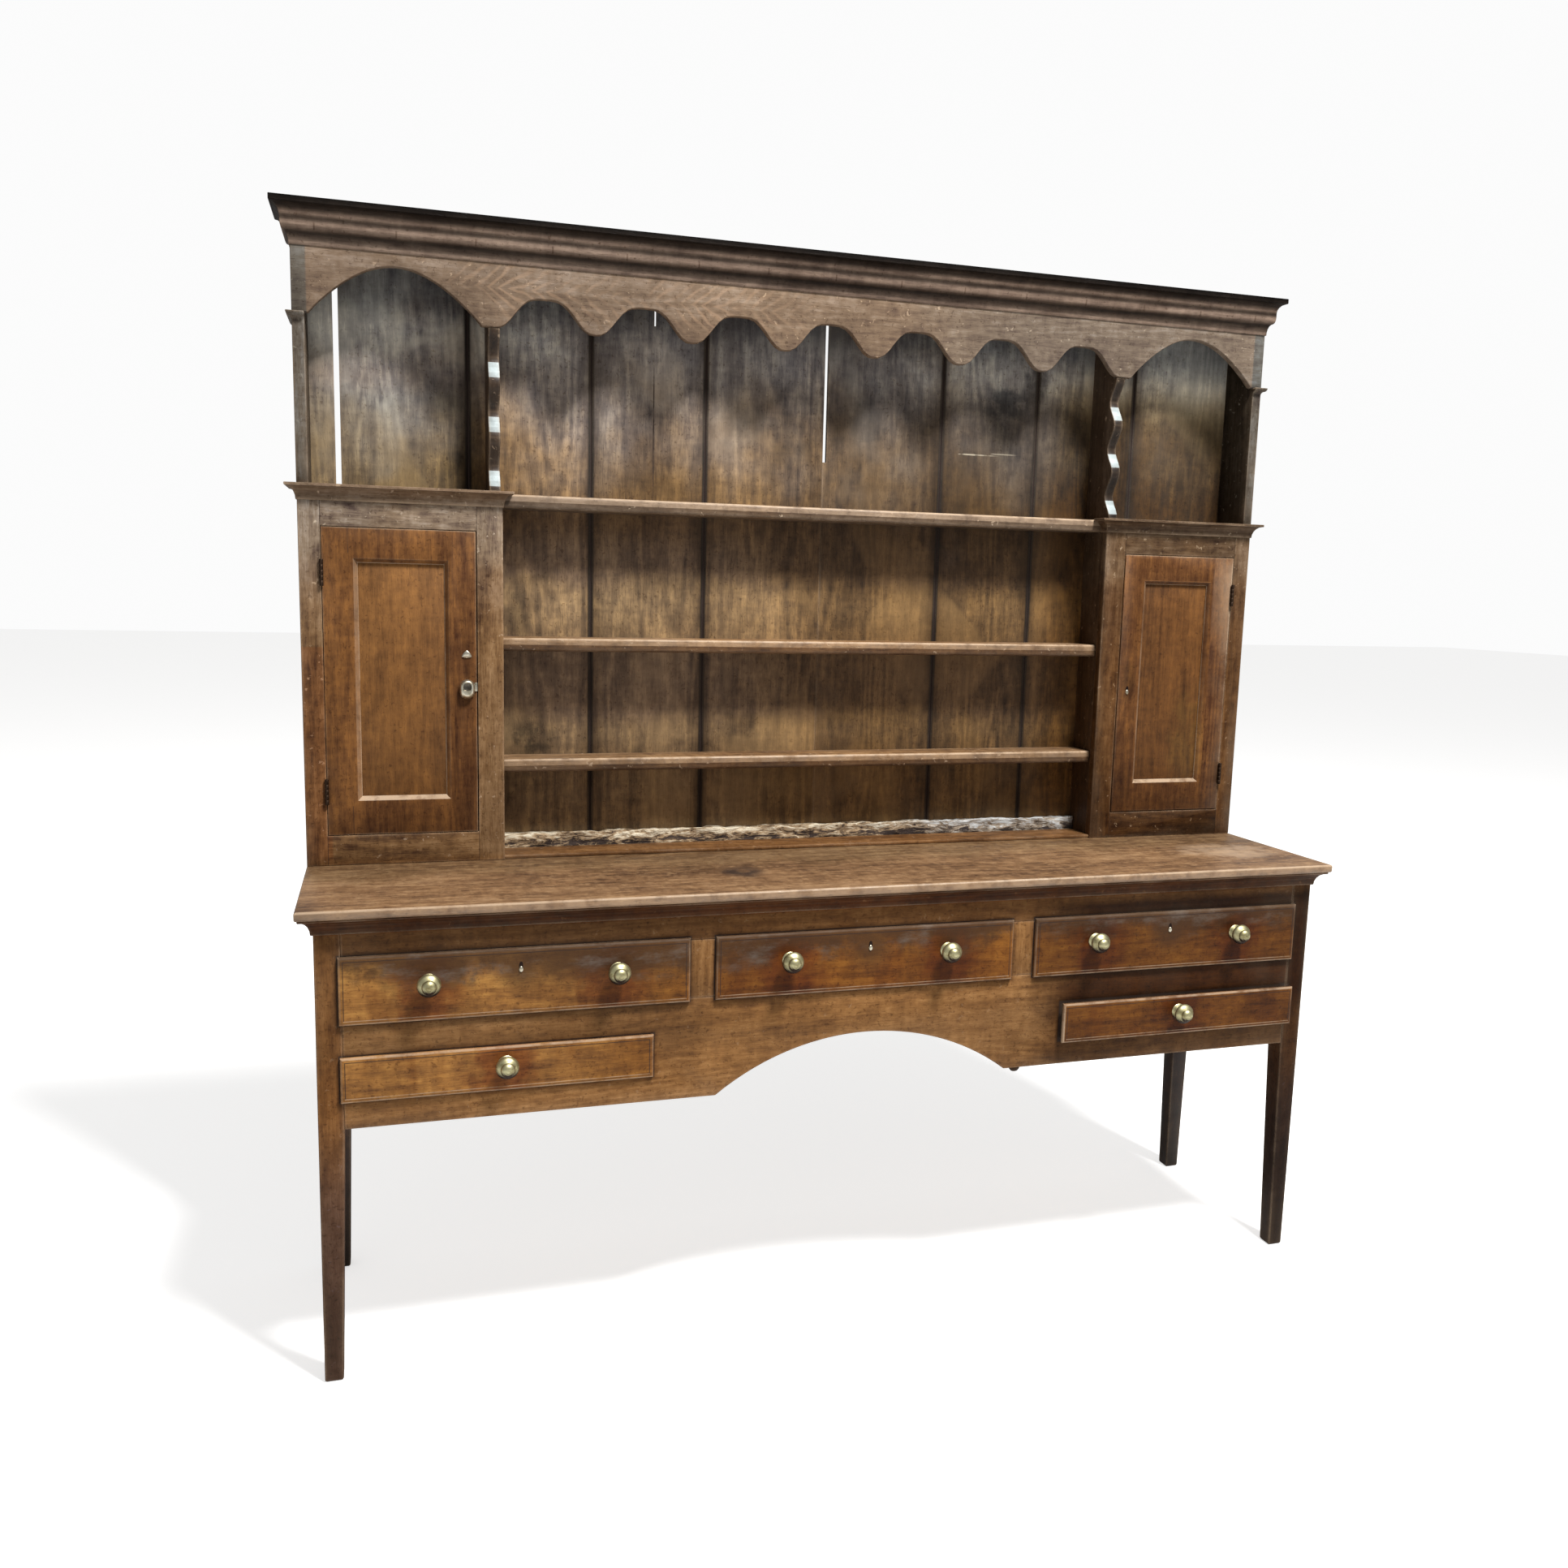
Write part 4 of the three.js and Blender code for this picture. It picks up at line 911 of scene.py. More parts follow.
def spun(profile, sides=24, unit=MM, stretch=1):
    """A turned piece about the Z axis, stretched along Y.

    The profile is (radius, height), in units, from its back on.
    """
    bpy.ops.object.select_all(action="DESELECT")
    (radius, height), *rings = [(wide * unit, high * unit) for wide, high in profile]
    bpy.ops.mesh.primitive_circle_add(vertices=sides, radius=radius, location=(0, 0, height))
    piece = bpy.context.active_object
    bpy.ops.object.transform_apply()
    with editing(piece):
        for wide, high in rings:
            move = {"value": (0, 0, high - height)}
            bpy.ops.mesh.extrude_edges_move(TRANSFORM_OT_translate=move)
            bpy.ops.transform.resize(value=(wide / radius, wide / radius, 1))
            radius, height = wide, high
        bpy.ops.mesh.select_all(action="SELECT")
        bpy.ops.mesh.fill_holes(sides=0)
        bpy.ops.mesh.select_all(action="SELECT")
        bpy.ops.mesh.normals_make_consistent(inside=False)
    smooth(piece, 50)
    for corner in piece.data.vertices:
        corner.co.y *= stretch
    return piece


# Turns what was spun about Z to face forwards
FORWARDS = Matrix.Rotation(math.radians(90), 4, "X")


def placed_copy(piece, name, place, turn=FORWARDS):
    """A copy with its own mesh, turned about the origin and moved to its place."""
    mesh = piece.data.copy()
    mesh.transform(Matrix.Translation(place) @ turn)
    return add(name, mesh)


def box_piece(name, low, high, rounded=0.0):
    """A board between two corners, with its edges rounded that wide."""
    bpy.ops.object.select_all(action="DESELECT")
    middle = [(a + b) / 2 for a, b in zip(low, high)]
    bpy.ops.mesh.primitive_cube_add(size=1, location=middle)
    piece = bpy.context.active_object
    piece.name = piece.data.name = name
    piece.scale = [b - a for a, b in zip(low, high)]
    bpy.ops.object.transform_apply()
    if rounded:
        round_edges(piece, rounded)
    return piece


# Pieces

# How much of a way a face's normal has: to lean slightly, to lean, to lean steeply, and to face it
SLIGHT, LEAN, STEEP, FLAT = 0.1, 0.2, 0.3, 0.9

# How bare the faces of an edge are, by the first way that they lean
BOARD_EDGE = {"up": 0.95, "down": 0, "any": 0.4}
DRAWER_EDGE = {"up": 0.7, "down": 0.7, "left": 0.25, "right": 0.25}
# The doors' edges are pale where they face up and right, as wear and as a painted highlight
DOOR_EDGE_WEAR_AND_HIGHLIGHT = {"up": 1.0, "right": 0.3}


def rubbed(face, edge, lean=LEAN, forwards=LEAN):
    """How bare a face of an edge is, and for the doors and shelves how strong its painted highlight
    is. Only what leans forwards is rubbed.
    """
    x, y, z = face.normal
    ways = {"up": z, "down": -z, "left": -x, "right": x, "any": 1}
    return next((share for way, share in edge.items() if ways[way] > lean), 0) * (y < -forwards)


# The dark end of a bearer under the apron: its place along it, and half of its depth, as a share
# of the apron's. Its profile is (radius, height) in millimetres.
STUB_PLACE, STUB_DEPTH = 0.318, 0.35
STUB_PROFILE = ((10, 3), (12, 0), (12, -2), (10, -6), (7, -9.5), (3, -11))
STUB_RADIUS = max(radius for radius, _ in STUB_PROFILE) * MM


def add_apron_stub():
    low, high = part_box("front_apron")
    stub = spun(STUB_PROFILE, stretch=STUB_DEPTH * (high.y - low.y) / STUB_RADIUS)
    place = (STUB_PLACE, (low.y + high.y) / 2, low.z)
    put_on(placed_copy(stub, "apron_stub", place, Matrix.Identity(4)), "black_iron")
    drop(stub)


# The base's boards, by how their names start, with their grain and their finish
BASE_BOARDS = (
    ("base_moulding", ALONG_X, "case_oak"),
    ("front_top_rail", ALONG_X, "apron_oak"),
    ("front_apron", ALONG_X, "apron_oak"),
    ("muntin_", ALONG_Z, "apron_oak"),
    ("leg_front_", ALONG_Z, "apron_oak"),
    ("end_apron_", ALONG_Y, "case_oak"),
    ("leg_rear_", ALONG_Z, "leg_oak"),
    ("base_back", ALONG_X, "back_oak"),
    ("upper_drawer_bearer", ALONG_X, "raw_oak"),
    ("lower_drawer_bearer_", ALONG_X, "raw_oak"),
)


class DRESSER_OT_base(bpy.types.Operator):
    """Wears the edges of the base's frame, its apron and its legs"""

    bl_idname = "dresser.base"
    bl_label = "Base frame"

    def execute(self, context):
        for start, axis, finish in BASE_BOARDS:
            for node in named(start):
                worn_board(node, axis, finish)
        add_apron_stub()
        return {"FINISHED"}


class DRESSER_OT_top(bpy.types.Operator):
    """Wears the edges of the top board"""

    bl_idname = "dresser.top"
    bl_label = "Top board"

    def execute(self, context):
        width, lip = sizes().soft_edge_round, lambda face: rubbed(face, BOARD_EDGE)
        worn_board("base_top", ALONG_X, "top_oak", width=width, lip=lip)
        return {"FINISHED"}


# How far a drawer front's moulded edge reaches in, and an upper drawer's knobs are from its middle
MOULDED_EDGE, UPPER_KNOB = 7 * MM, 0.158

# How dark the line inside it is, as painted shade in the moulding's crease, how bare this is along
# the foot, and the chipped end of a drawer
CREASE_SHADE, FOOT_LINE, CHIPPED_END = 0.8, 0.6, 0.9

# The upper edge of an upper drawer lies in the top board's shadow, which is painted: how dark it is
# made, and how much of its wear stays pale
TOP_SHADOW_DEPTH, TOP_SHADOW_WEAR = 0.75, 0.15


def moulded_front(name):
    """A drawer front with pale moulded edges, and a dark line of painted shade in the crease inside
    them. An upper drawer's upper edge lies in the painted shadow of the top board.
    """
    node = f"drawer_front_{name}"
    front = copy_of(node)
    low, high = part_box(node)
    middle = (low + high) / 2
    wide = sizes().line_width
    reach = [half - MOULDED_EDGE - wide / 2 for half in (high - low) / 2]
    for axis in (0, 2):
        for side in (-1, 1):
            cut_across(front, axis, middle[axis] + side * reach[axis], wide)
    is_upper = name in UPPER_DRAWERS

    def is_line(face):
        past = [abs(away) - own for away, own in zip(face.center - middle, reach)]
        return face.normal.y < -FLAT and abs(max(past[0], past[2])) < wide / 2

    def is_foot(face):
        return is_line(face) and face.center.z < middle.z - reach[2] + wide

    # Faces that look up, under the top board, get its painted shadow
    def is_sheltered(face):
        return is_upper and face.normal.z > STEEP

    # The dark line is painted shade, laid through the joint mark
    def joint(face):
        return CREASE_SHADE * (is_line(face) and not is_foot(face))

    def deeper(face):
        return max(DEEPER.get(node, 0), TOP_SHADOW_DEPTH * is_sheltered(face))

    def lip(face):
        if is_foot(face):
            return FOOT_LINE
        if name == "lower_right" and face.normal.x < -LEAN:
            return CHIPPED_END
        return rubbed(face, DRAWER_EDGE) * (TOP_SHADOW_WEAR if is_sheltered(face) else 1)

    round_edges(front, sizes().edge_round)
    mark_board(front, ALONG_X)
    smooth(front)
    marks = {"joint": joint, "deeper": deeper, "lip": lip}
    marks.update(knob_at=UPPER_KNOB * is_upper, has_lock=is_upper)
    put_on(front, "front_oak", f"drawer_{name}", node, **marks)


class DRESSER_OT_drawers(bpy.types.Operator):
    """Wears the drawer fronts and trays"""

    bl_idname = "dresser.drawers"
    bl_label = "Drawers"

    def execute(self, context):
        for name in UPPER_DRAWERS + ["lower_left", "lower_right"]:
            moulded_front(name)
            worn_board(f"drawer_tray_{name}", ALONG_Y, "raw_oak", f"drawer_{name}", CRISP)
        return {"FINISHED"}


# The foot of the inner uprights' scallops, and how dark their sides and the scallops are, as
# painted shade
SCALLOP_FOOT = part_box("shelf_top")[1].z
UPRIGHT_SIDE_SHADE, UPRIGHT_SCALLOP_SHADE = 0.6, 0.8

# How dark the inner side of a rack's end board is, as painted shade
END_SIDE_SHADE = 0.7


def upright_depth(face):
    """Painted shade: an inner upright is dark at its sides, and darker on its scallops."""
    if abs(face.normal.x) > FLAT:
        return UPRIGHT_SIDE_SHADE
    return UPRIGHT_SCALLOP_SHADE * (face.center.z > SCALLOP_FOOT)


def scallop_share(face):
    """How much painted highlight a scallop gets: the more it faces up, the more."""
    if face.center.z < SCALLOP_FOOT or face.normal.y > -STEEP:
        return 0
    return min(1, max(0, (face.normal.z - STEEP) / 0.25))


class DRESSER_OT_rack(bpy.types.Operator):
    """Wears the rack's cornice, frieze, roof, ends and inner uprights"""

    bl_idname = "dresser.rack"
    bl_label = "Rack"

    def execute(self, context):
        crisp_board("cornice", ALONG_X, "cornice_oak")
        worn_board("rack_roof", ALONG_X, "leg_oak")
        worn_board("frieze", ALONG_X, "frieze_oak")
        for end, side in ENDS.items():
            depth = lambda face: END_SIDE_SHADE * (face.normal.x * side < -FLAT)
            crisp_board(f"end_board_{end}", ALONG_Z, "case_oak", deeper=depth)
            # The bare mark is the scallops' painted highlight, and the depth is painted shade
            marks = {"deeper": upright_depth, "bare": scallop_share}
            worn_board(f"inner_upright_{end}", ALONG_Z, "upright_oak", **marks)
        return {"FINISHED"}


class DRESSER_OT_shelves(bpy.types.Operator):
    """Wears the shelves, whose front edges are rubbed pale in their upper half, as wear and as a
    painted highlight, and darkened in the lower as painted shade
    """

    bl_idname = "dresser.shelves"
    bl_label = "Shelves"

    def execute(self, context):
        for node in named("shelf_"):
            shelf = worn_board(node, ALONG_X, "shelf_oak", width=sizes().soft_edge_round)
            low, high = bounds_of(shelf)
            middle = (low.z + high.z) / 2
            cut_across(shelf, 2, middle)
            # The upper half's pale edge is wear and a painted highlight; the darker lower half is
            # painted shade
            is_upper = lambda face: face.center.z > middle
            set_faces(shelf, "lip", lambda face: is_upper(face) * rubbed(face, BOARD_EDGE))
            set_faces(shelf, "deeper", lambda face: 0.5 * (face.center.z < middle))
        return {"FINISHED"}


# A slot that shows light high in the backboards, as its lowest and highest corners
BACK_SLOT = ((-0.335, 0, 1.879), (-0.3305, 1, 1.912))

# How far from a joint between backboards its groove reaches, and how wide their edges are worn
GROOVE, BACK_EDGE = 2 * MM, 0.6 * MM


class DRESSER_OT_backboards(bpy.types.Operator):
    """Gives each backboard its own grain, with dirt in the joints between them"""

    bl_idname = "dresser.backboards"
    bl_label = "Backboards"

    def execute(self, context):
        for end in ENDS:
            node = f"backboards_{end}"
            piece = copy_of(node)
            low, high = bounds_of(piece)
            joints = [joint for joint in board_joints() if low.x < joint < high.x]
            round_edges(piece, BACK_EDGE, 1)
            if low.x < BACK_SLOT[0][0] < high.x:
                cutter = box_piece("cutter", *BACK_SLOT)
                modify(piece, "BOOLEAN", operation="DIFFERENCE", object=cutter)
                drop(cutter)

            def seed(face):
                return seed_of(f"board {end} {sum(face.center.x > joint for joint in joints)}")

            def is_joint(face):
                x, y, _ = face.center
                return y < high.y - 2 * GROOVE and any(abs(x - joint) < GROOVE for joint in joints)

            mark_board(piece, ALONG_Z, seed)
            smooth(piece)
            put_on(piece, "back_oak", node=node, joint=is_joint)
        return {"FINISHED"}


# The worm-eaten rail's hollows, where all is even, and the size of the faces that they're cut from
RAIL_HOLLOW, RAIL_GRID = 0.45, 4 * MM

# Its waves and its pits: how many to a metre along and across, how deep, and where they start
RAIL_WAVES = ((22, 70, 0.8, 0), (60, 160, 0.5, 9))

# The thin board before the rail: how far it stands out under the shelf, its height and its edges
FLOOR_DEPTH, FLOOR_HEIGHT, FLOOR_EDGE = 20 * MM, 7 * MM, 2 * MM


class DRESSER_OT_foot_rail(bpy.types.Operator):
    """Eats hollows into the rail at the foot of the backboards, and lays a thin board before it"""

    bl_idname = "dresser.foot_rail"
    bl_label = "Foot rail"

    def execute(self, context):
        node = "rack_foot_rail"
        rail = copy_of(node)
        low, high = bounds_of(rail)
        rail.data.remesh_voxel_size = RAIL_GRID
        only(rail)
        bpy.ops.object.voxel_remesh()
        for corner in rail.data.vertices:
            co = corner.co
            share = RAIL_HOLLOW
            for along, across, part, start in RAIL_WAVES:
                place = (co.x * along, co.y * across, co.z * across + start)
                share += noise.noise(Vector(place)) * part
            depth = sizes().rail_roughness * min(1, max(0, share))
            top = (co.z - low.z) / (high.z - low.z)
            front = (high.y - co.y) / (high.y - low.y)
            co.z -= depth * top
            co.y += depth * front
        mark_board(rail, ALONG_X)
        smooth(rail, 60)
        put_on(rail, "worm_oak", node=node)
        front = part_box("shelf_bottom")[0].y - FLOOR_DEPTH
        corners = ((low.x, front, low.z), (high.x, low.y, low.z + FLOOR_HEIGHT))
        floor = box_piece("rack_floor_board", *corners, FLOOR_EDGE)
        mark_board(floor, ALONG_X)
        smooth(floor)
        put_on(floor, "case_oak", slot="oak_top")
        return {"FINISHED"}


# What the seeds of a frame's top rail, its stiles and its right-hand stile have added to them
TOP_RAIL_SEED, STILE_SEED, RIGHT_STILE_SEED = 0.31, 0.57, 0.23


def framed(node, finish, body, stiles, rails, joints, **marks):
    """A frame of two stiles, with two rails between them, in one copy of a solid.

    Grain runs up the stiles and along the rails. Each of them is (low, high).
    """
    piece = copy_of(node)
    round_edges(piece, sizes().edge_round)
    wide = sizes().joint_width
    for joint in joints:
        cut_across(piece, 0, joint, wide)
    own = seed_of(node)

    def grain(face):
        x, _, z = face.center
        is_rail = any(low <= z <= high for low, high in rails)
        is_stile = any(low <= x <= high for low, high in stiles)
        return ALONG_X if is_rail and not is_stile else ALONG_Z

    def seed(face):
        x, _, z = face.center
        if grain(face) == ALONG_X:
            return (own + TOP_RAIL_SEED * (z > rails[1][0])) % 1
        return (own + STILE_SEED + RIGHT_STILE_SEED * (x > stiles[1][0])) % 1

    def is_joint(face):
        x, _, z = face.center
        at_rail = any(low < z < high for low, high in rails)
        return at_rail and any(abs(x - joint) < wide / 2 for joint in joints)

    mark_board(piece, grain, seed)
    smooth(piece)
    put_on(piece, finish, body, node, joint=is_joint, **marks)


# How far the stiles of a cupboard's frame and their joints are from its door, at its left and right
STILE_GAPS = {"left": (1 * MM, 2 * MM), "right": (2 * MM, 1 * MM)}
JOINT_GAPS = {"left": (1.2 * MM, 2 * MM), "right": (2 * MM, 1.2 * MM)}


class DRESSER_OT_cupboards(bpy.types.Operator):
    """Wears the cupboards' frames and moulded tops"""

    bl_idname = "dresser.cupboards"
    bl_label = "Cupboards"

    def execute(self, context):
        for end in ENDS:
            node = f"cupboard_frame_{end}"
            low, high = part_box(node)
            door_low, door_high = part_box(f"door_frame_{end}")
            before, after = STILE_GAPS[end]
            stiles = [(low.x, door_low.x - before), (door_high.x + after, high.x)]
            rails = [(low.z, door_low.z), (door_high.z, high.z)]
            before, after = JOINT_GAPS[end]
            joints = [door_low.x - before, door_high.x + after]
            framed(node, "case_oak", "root", stiles, rails, joints)
            crisp_board(f"cupboard_top_{end}", ALONG_X, "case_oak")
        return {"FINISHED"}


# How wide a door's moulding is round its panel, and how wide the panel's edges are worn
DOOR_MOULDING, PANEL_EDGE = 8 * MM, 0.5 * MM

# How much darker a door's free stile is, and how much lighter its top rail
FREE_STILE, TOP_RAIL = 0.02, 0.5


class DRESSER_OT_doors(bpy.types.Operator):
    """Wears the doors' frames and panels"""

    bl_idname = "dresser.doors"
    bl_label = "Doors"

    def execute(self, context):
        for end in ENDS:
            node, panel, body = (f"{kind}_{end}" for kind in ("door_frame", "door_panel", "door"))
            low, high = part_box(node)
            panel_low, panel_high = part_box(panel)
            left, right = panel_low.x - DOOR_MOULDING, panel_high.x + DOOR_MOULDING
            stiles = [(low.x, left), (right, high.x)]
            rails = [(low.z, panel_low.z), (panel_high.z, high.z)]
            free = stiles[1] if end == "left" else stiles[0]

            def depth(face):
                x, _, z = face.center
                is_free = free[0] <= x <= free[1]
                is_top = z > panel_high.z and left < x < right
                return DEEPER[node] + FREE_STILE * is_free - TOP_RAIL * is_top

            marks = {"deeper": depth, "lip": lambda face: rubbed(face, DOOR_EDGE_WEAR_AND_HIGHLIGHT, STEEP, SLIGHT)}
            framed(node, "door_oak", body, stiles, rails, (left, right), **marks)
            worn_board(panel, ALONG_Z, "panel_oak", body, PANEL_EDGE)
        return {"FINISHED"}


# A knob, as (radius, height) in shares of its own radius: its foot, neck, face and rings
KNOB_PROFILE = (
    *((0.75, 0.0), (0.76, 0.05), (0.7, 0.12), (0.5, 0.19), (0.4, 0.27), (0.38, 0.46)),
    *((0.46, 0.6), (0.72, 0.68), (0.92, 0.79), (1.0, 0.95), (0.98, 1.1), (0.88, 1.26)),
    *((0.76, 1.37), (0.66, 1.43), (0.61, 1.47), (0.62, 1.52), (0.6, 1.62), (0.52, 1.76)),
    *((0.36, 1.88), (0.16, 1.94)),
)


def knob_shade(face):
    """How black a knob is painted: most on the faces that point down, as painted shade underneath.
    """
    return min(1, max(0, -face.normal.z + 0.05) * 1.8)


class DRESSER_OT_knobs(bpy.types.Operator):
    """Turns the brass knobs"""

    bl_idname = "dresser.knobs"
    bl_label = "Knobs"

    def execute(self, context):
        knob = spun(KNOB_PROFILE, 48, sizes().knob_radius)
        for node in named("drawer_knob_"):
            low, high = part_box(node)
            drawer = node.replace("_knob", "")
            body = next(body for body in frame["bodies"] if drawer.startswith(body))
            place = ((low.x + high.x) / 2, high.y, (low.z + high.z) / 2)
            made = placed_copy(knob, node + "_turned", place)
            put_on(made, "handled_brass", body, node, hollow=knob_shade)
        drop(knob)
        return {"FINISHED"}


# A keyhole's pin and its hole, as (radius, height) in shares of the pin's radius
PIN_PROFILE = ((1.0, -0.5), (1.0, 0.2), (0.8, 0.45), (0.4, 0.55))
HOLE_PROFILE = ((0.9, -0.5), (0.9, 0.05))
PIN_STRETCH, HOLE_STRETCH = 1.4, 2.1

# How far the hole is above its pin, a drawer's pin above its middle, and the door's from its edge
HOLE_RISE, PIN_RISE, PIN_INSET = 6 * MM, 22 * MM, 22 * MM
DOOR_PIN_HEIGHT = 1.166


class DRESSER_OT_keyholes(bpy.types.Operator):
    """Sets dark keyholes, each with its bright pin, in the upper drawers and the right-hand door"""

    bl_idname = "dresser.keyholes"
    bl_label = "Keyholes"

    def execute(self, context):
        pin = spun(PIN_PROFILE, unit=sizes().keyhole_radius, stretch=PIN_STRETCH)
        hole = spun(HOLE_PROFILE, unit=sizes().keyhole_radius, stretch=HOLE_STRETCH)
        low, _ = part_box("door_frame_right")
        places = {"door_right": Vector((low.x + PIN_INSET, low.y, DOOR_PIN_HEIGHT))}
        for name in UPPER_DRAWERS:
            low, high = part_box(f"drawer_front_{name}")
            middle = (low + high) / 2
            places[f"drawer_{name}"] = Vector((middle.x, low.y, middle.z + PIN_RISE))
        for body, place in places.items():
            name = "keyhole_" + body.removeprefix("drawer_")
            bright = placed_copy(pin, name + "_pin", place)
            put_on(bright, "pale_brass", body, hollow=0.2)
            # The hole is a blackened disc set in the front: painted shade for the keyhole's dark
            # opening
            dark = placed_copy(hole, name + "_hole", place + Vector((0, 0, HOLE_RISE)))
            put_on(dark, "black_iron", body, hollow=1)
        drop(pin)
        drop(hole)
        return {"FINISHED"}


# A hinge's worn edge and its knuckle: its radius, where its rings are, and how far they draw in
HINGE_EDGE, KNUCKLE_RADIUS, NEAR = 0.3 * MM, 3.5 * MM, 0.1 * MM
RING_HEIGHTS, RING_WIDTH, RING_DEPTH = (0.2, 0.4, 0.6, 0.8), 1 * MM, 0.2


class DRESSER_OT_hinges(bpy.types.Operator):
    """Finishes the hinges' leaves and draws in narrow rings round their knuckles"""

    bl_idname = "dresser.hinges"
    bl_label = "Hinges"

    def execute(self, context):
        for node in named("door_hinge_"):
            piece = crisp_board(node, ALONG_Z, "black_iron", HINGE_EDGE)
            low, high = bounds_of(piece)
            middle = (low.x + high.x) / 2, low.y + KNUCKLE_RADIUS
            for share in RING_HEIGHTS:
                height = low.z + share * (high.z - low.z)
                cut_across(piece, 2, height, RING_WIDTH)
                cut_across(piece, 2, height)
                for corner in piece.data.vertices:
                    beside = abs(corner.co.y - middle[1]) > KNUCKLE_RADIUS + NEAR
                    if beside or abs(corner.co.z - height) > NEAR:
                        continue
                    for axis in (0, 1):
                        corner.co[axis] += (middle[axis] - corner.co[axis]) * RING_DEPTH
            smooth(piece)
        return {"FINISHED"}


# The catch and the keyhole cover over it, as (radius, height) in millimetres
CATCH_PROFILE = (
    *((9, 0), (13, 1), (14, 4), (13.4, 8), (11.6, 11.5)),
    *((10, 13), (8.4, 13), (7.2, 12), (6.4, 8), (3, 7)),
)
COVER_PROFILE = ((9, 0), (9, 1.2), (8, 2))

# The catch's dark dish, and how far out it is squared
DISH_RADIUS, SQUARED_RADIUS, SQUARENESS = 7 * MM, 8 * MM, 0.6

# Its thumb-piece: how much longer than the ring, and how much wider at the ring's radius
THUMB_LENGTH, THUMB_WIDTH, RING_RADIUS = 1.65, 0.5, 14 * MM

# How far it stands off the door to pass over its keeper, and how far below the spindle this starts
CATCH_CLEARANCE, CLEAR_FROM = 3.5 * MM, 5 * MM

# How far the catch's spindle is below the top of its solid, and the cover above the spindle
SPINDLE_DROP, COVER_RISE = 13 * MM, 57 * MM


def shape_catch(co):
    """Squares the catch's hollow, and draws its lower half down to a thumb-piece."""
    far = math.hypot(co.x, co.y)
    if far < SQUARED_RADIUS:
        square = (far / max(abs(co.x), abs(co.y))) ** SQUARENESS
        co.x, co.y = co.x * square, co.y * square
    elif co.y < 0:
        if co.y < -CLEAR_FROM:
            co.z = max(co.z, CATCH_CLEARANCE)
        co.x += co.x * THUMB_WIDTH * (co.y / RING_RADIUS) ** 2
        co.y *= THUMB_LENGTH


# The keyhole cover's upper and lower half, as shares of a disc, and how it narrows as it rises
COVER_ABOVE, COVER_BELOW, COVER_NARROWING = 1.2, 0.3, 0.04 / MM


def shape_cover(co):
    """Draws a disc up to a rounded point over a flat foot."""
    if co.y > 0:
        co.x *= 1 - COVER_NARROWING * co.y
        co.y *= COVER_ABOVE
    else:
        co.y *= COVER_BELOW


class DRESSER_OT_catch(bpy.types.Operator):
    """Turns the catch of the left-hand door, and adds its keeper and a keyhole cover"""

    bl_idname = "dresser.catch"
    bl_label = "Catch"

    def execute(self, context):
        low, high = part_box("turn_catch")
        door_low, door_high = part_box("door_frame_left")
        x, y, z = (low.x + high.x) / 2, door_low.y, high.z - SPINDLE_DROP

        def shaped(name, profile, sides, shape, rise):
            disc = spun(profile, sides)
            for corner in disc.data.vertices:
                shape(corner.co)
            made = placed_copy(disc, name, (x, y, z + rise))
            drop(disc)
            return made

        knob = shaped("turn_catch_turned", CATCH_PROFILE, 40, shape_catch, 0)
        is_dish = lambda at: math.hypot(at.x - x, at.z - z) < DISH_RADIUS
        set_faces(knob, "hollow", lambda face: 0.85 * is_dish(face.center))
        tongue = box_piece(
            "tongue",
            (x - 4 * MM, high.y - 3 * MM, low.z),
            (x + 4 * MM, high.y, z + 4 * MM),
            rounded=0.8 * MM,
        )
        rod = box_piece(
            "rod",
            (x - 2.5 * MM, y - 2 * MM, z - 2.5 * MM),
            (x + 2.5 * MM, high.y - 1 * MM, z + 2.5 * MM),
        )
        only(knob)
        tongue.select_set(True)
        rod.select_set(True)
        bpy.ops.object.join()
        smooth(knob, 50)
        put_on(knob, "pale_brass", "catch", "turn_catch")
        keeper = box_piece(
            "catch_keeper",
            (door_high.x - 5 * MM, y - 2.5 * MM, z - 9 * MM),
            (door_high.x + 1 * MM, y + 1 * MM, z + 8 * MM),
            rounded=1.2 * MM,
        )
        smooth(keeper)
        put_on(keeper, "pale_brass", "door_left", hollow=0.35)
        cover = shaped("keyhole_cover_left", COVER_PROFILE, 24, shape_cover, COVER_RISE)
        put_on(cover, "pale_brass", "door_left", hollow=0.25)
        return {"FINISHED"}


# Floor, light and camera

# The camera that took the photograph, worked out from the dresser's own edges: its turns in
# degrees, its place from the middle of the top board's front edge, and shares of its square picture
YAW, PITCH, ROLL = (math.radians(angle) for angle in (17.13, -8.14, 1.45))
CAMERA_PLACE = (-0.84126, -2.17054 + FRONT_EDGE, 1.38098)
PICTURE = 1932
FOCAL_LENGTH, CENTRE_X, CENTRE_Y = (length / PICTURE for length in (1599.55, 972.91, 949.91))
SENSOR = 36


def aim_camera():
    ahead = Vector(
        (math.sin(YAW) * math.cos(PITCH), math.cos(YAW) * math.cos(PITCH), math.sin(PITCH))
    )
    level = Vector((math.cos(YAW), -math.sin(YAW), 0))
    upright = level.cross(ahead)
    right = math.cos(ROLL) * level + math.sin(ROLL) * upright
    up = math.cos(ROLL) * upright - math.sin(ROLL) * level
    data = bpy.data.cameras.new("camera")
    data.sensor_width = SENSOR
    data.lens = FOCAL_LENGTH * SENSOR
    data.shift_x = 0.5 - CENTRE_X
    data.shift_y = CENTRE_Y - 0.5
    camera = add("camera", data)
    turn = Matrix((right, up, -ahead)).transposed().to_4x4()
    camera.matrix_world = Matrix.Translation(CAMERA_PLACE) @ turn
    bpy.context.scene.camera = camera


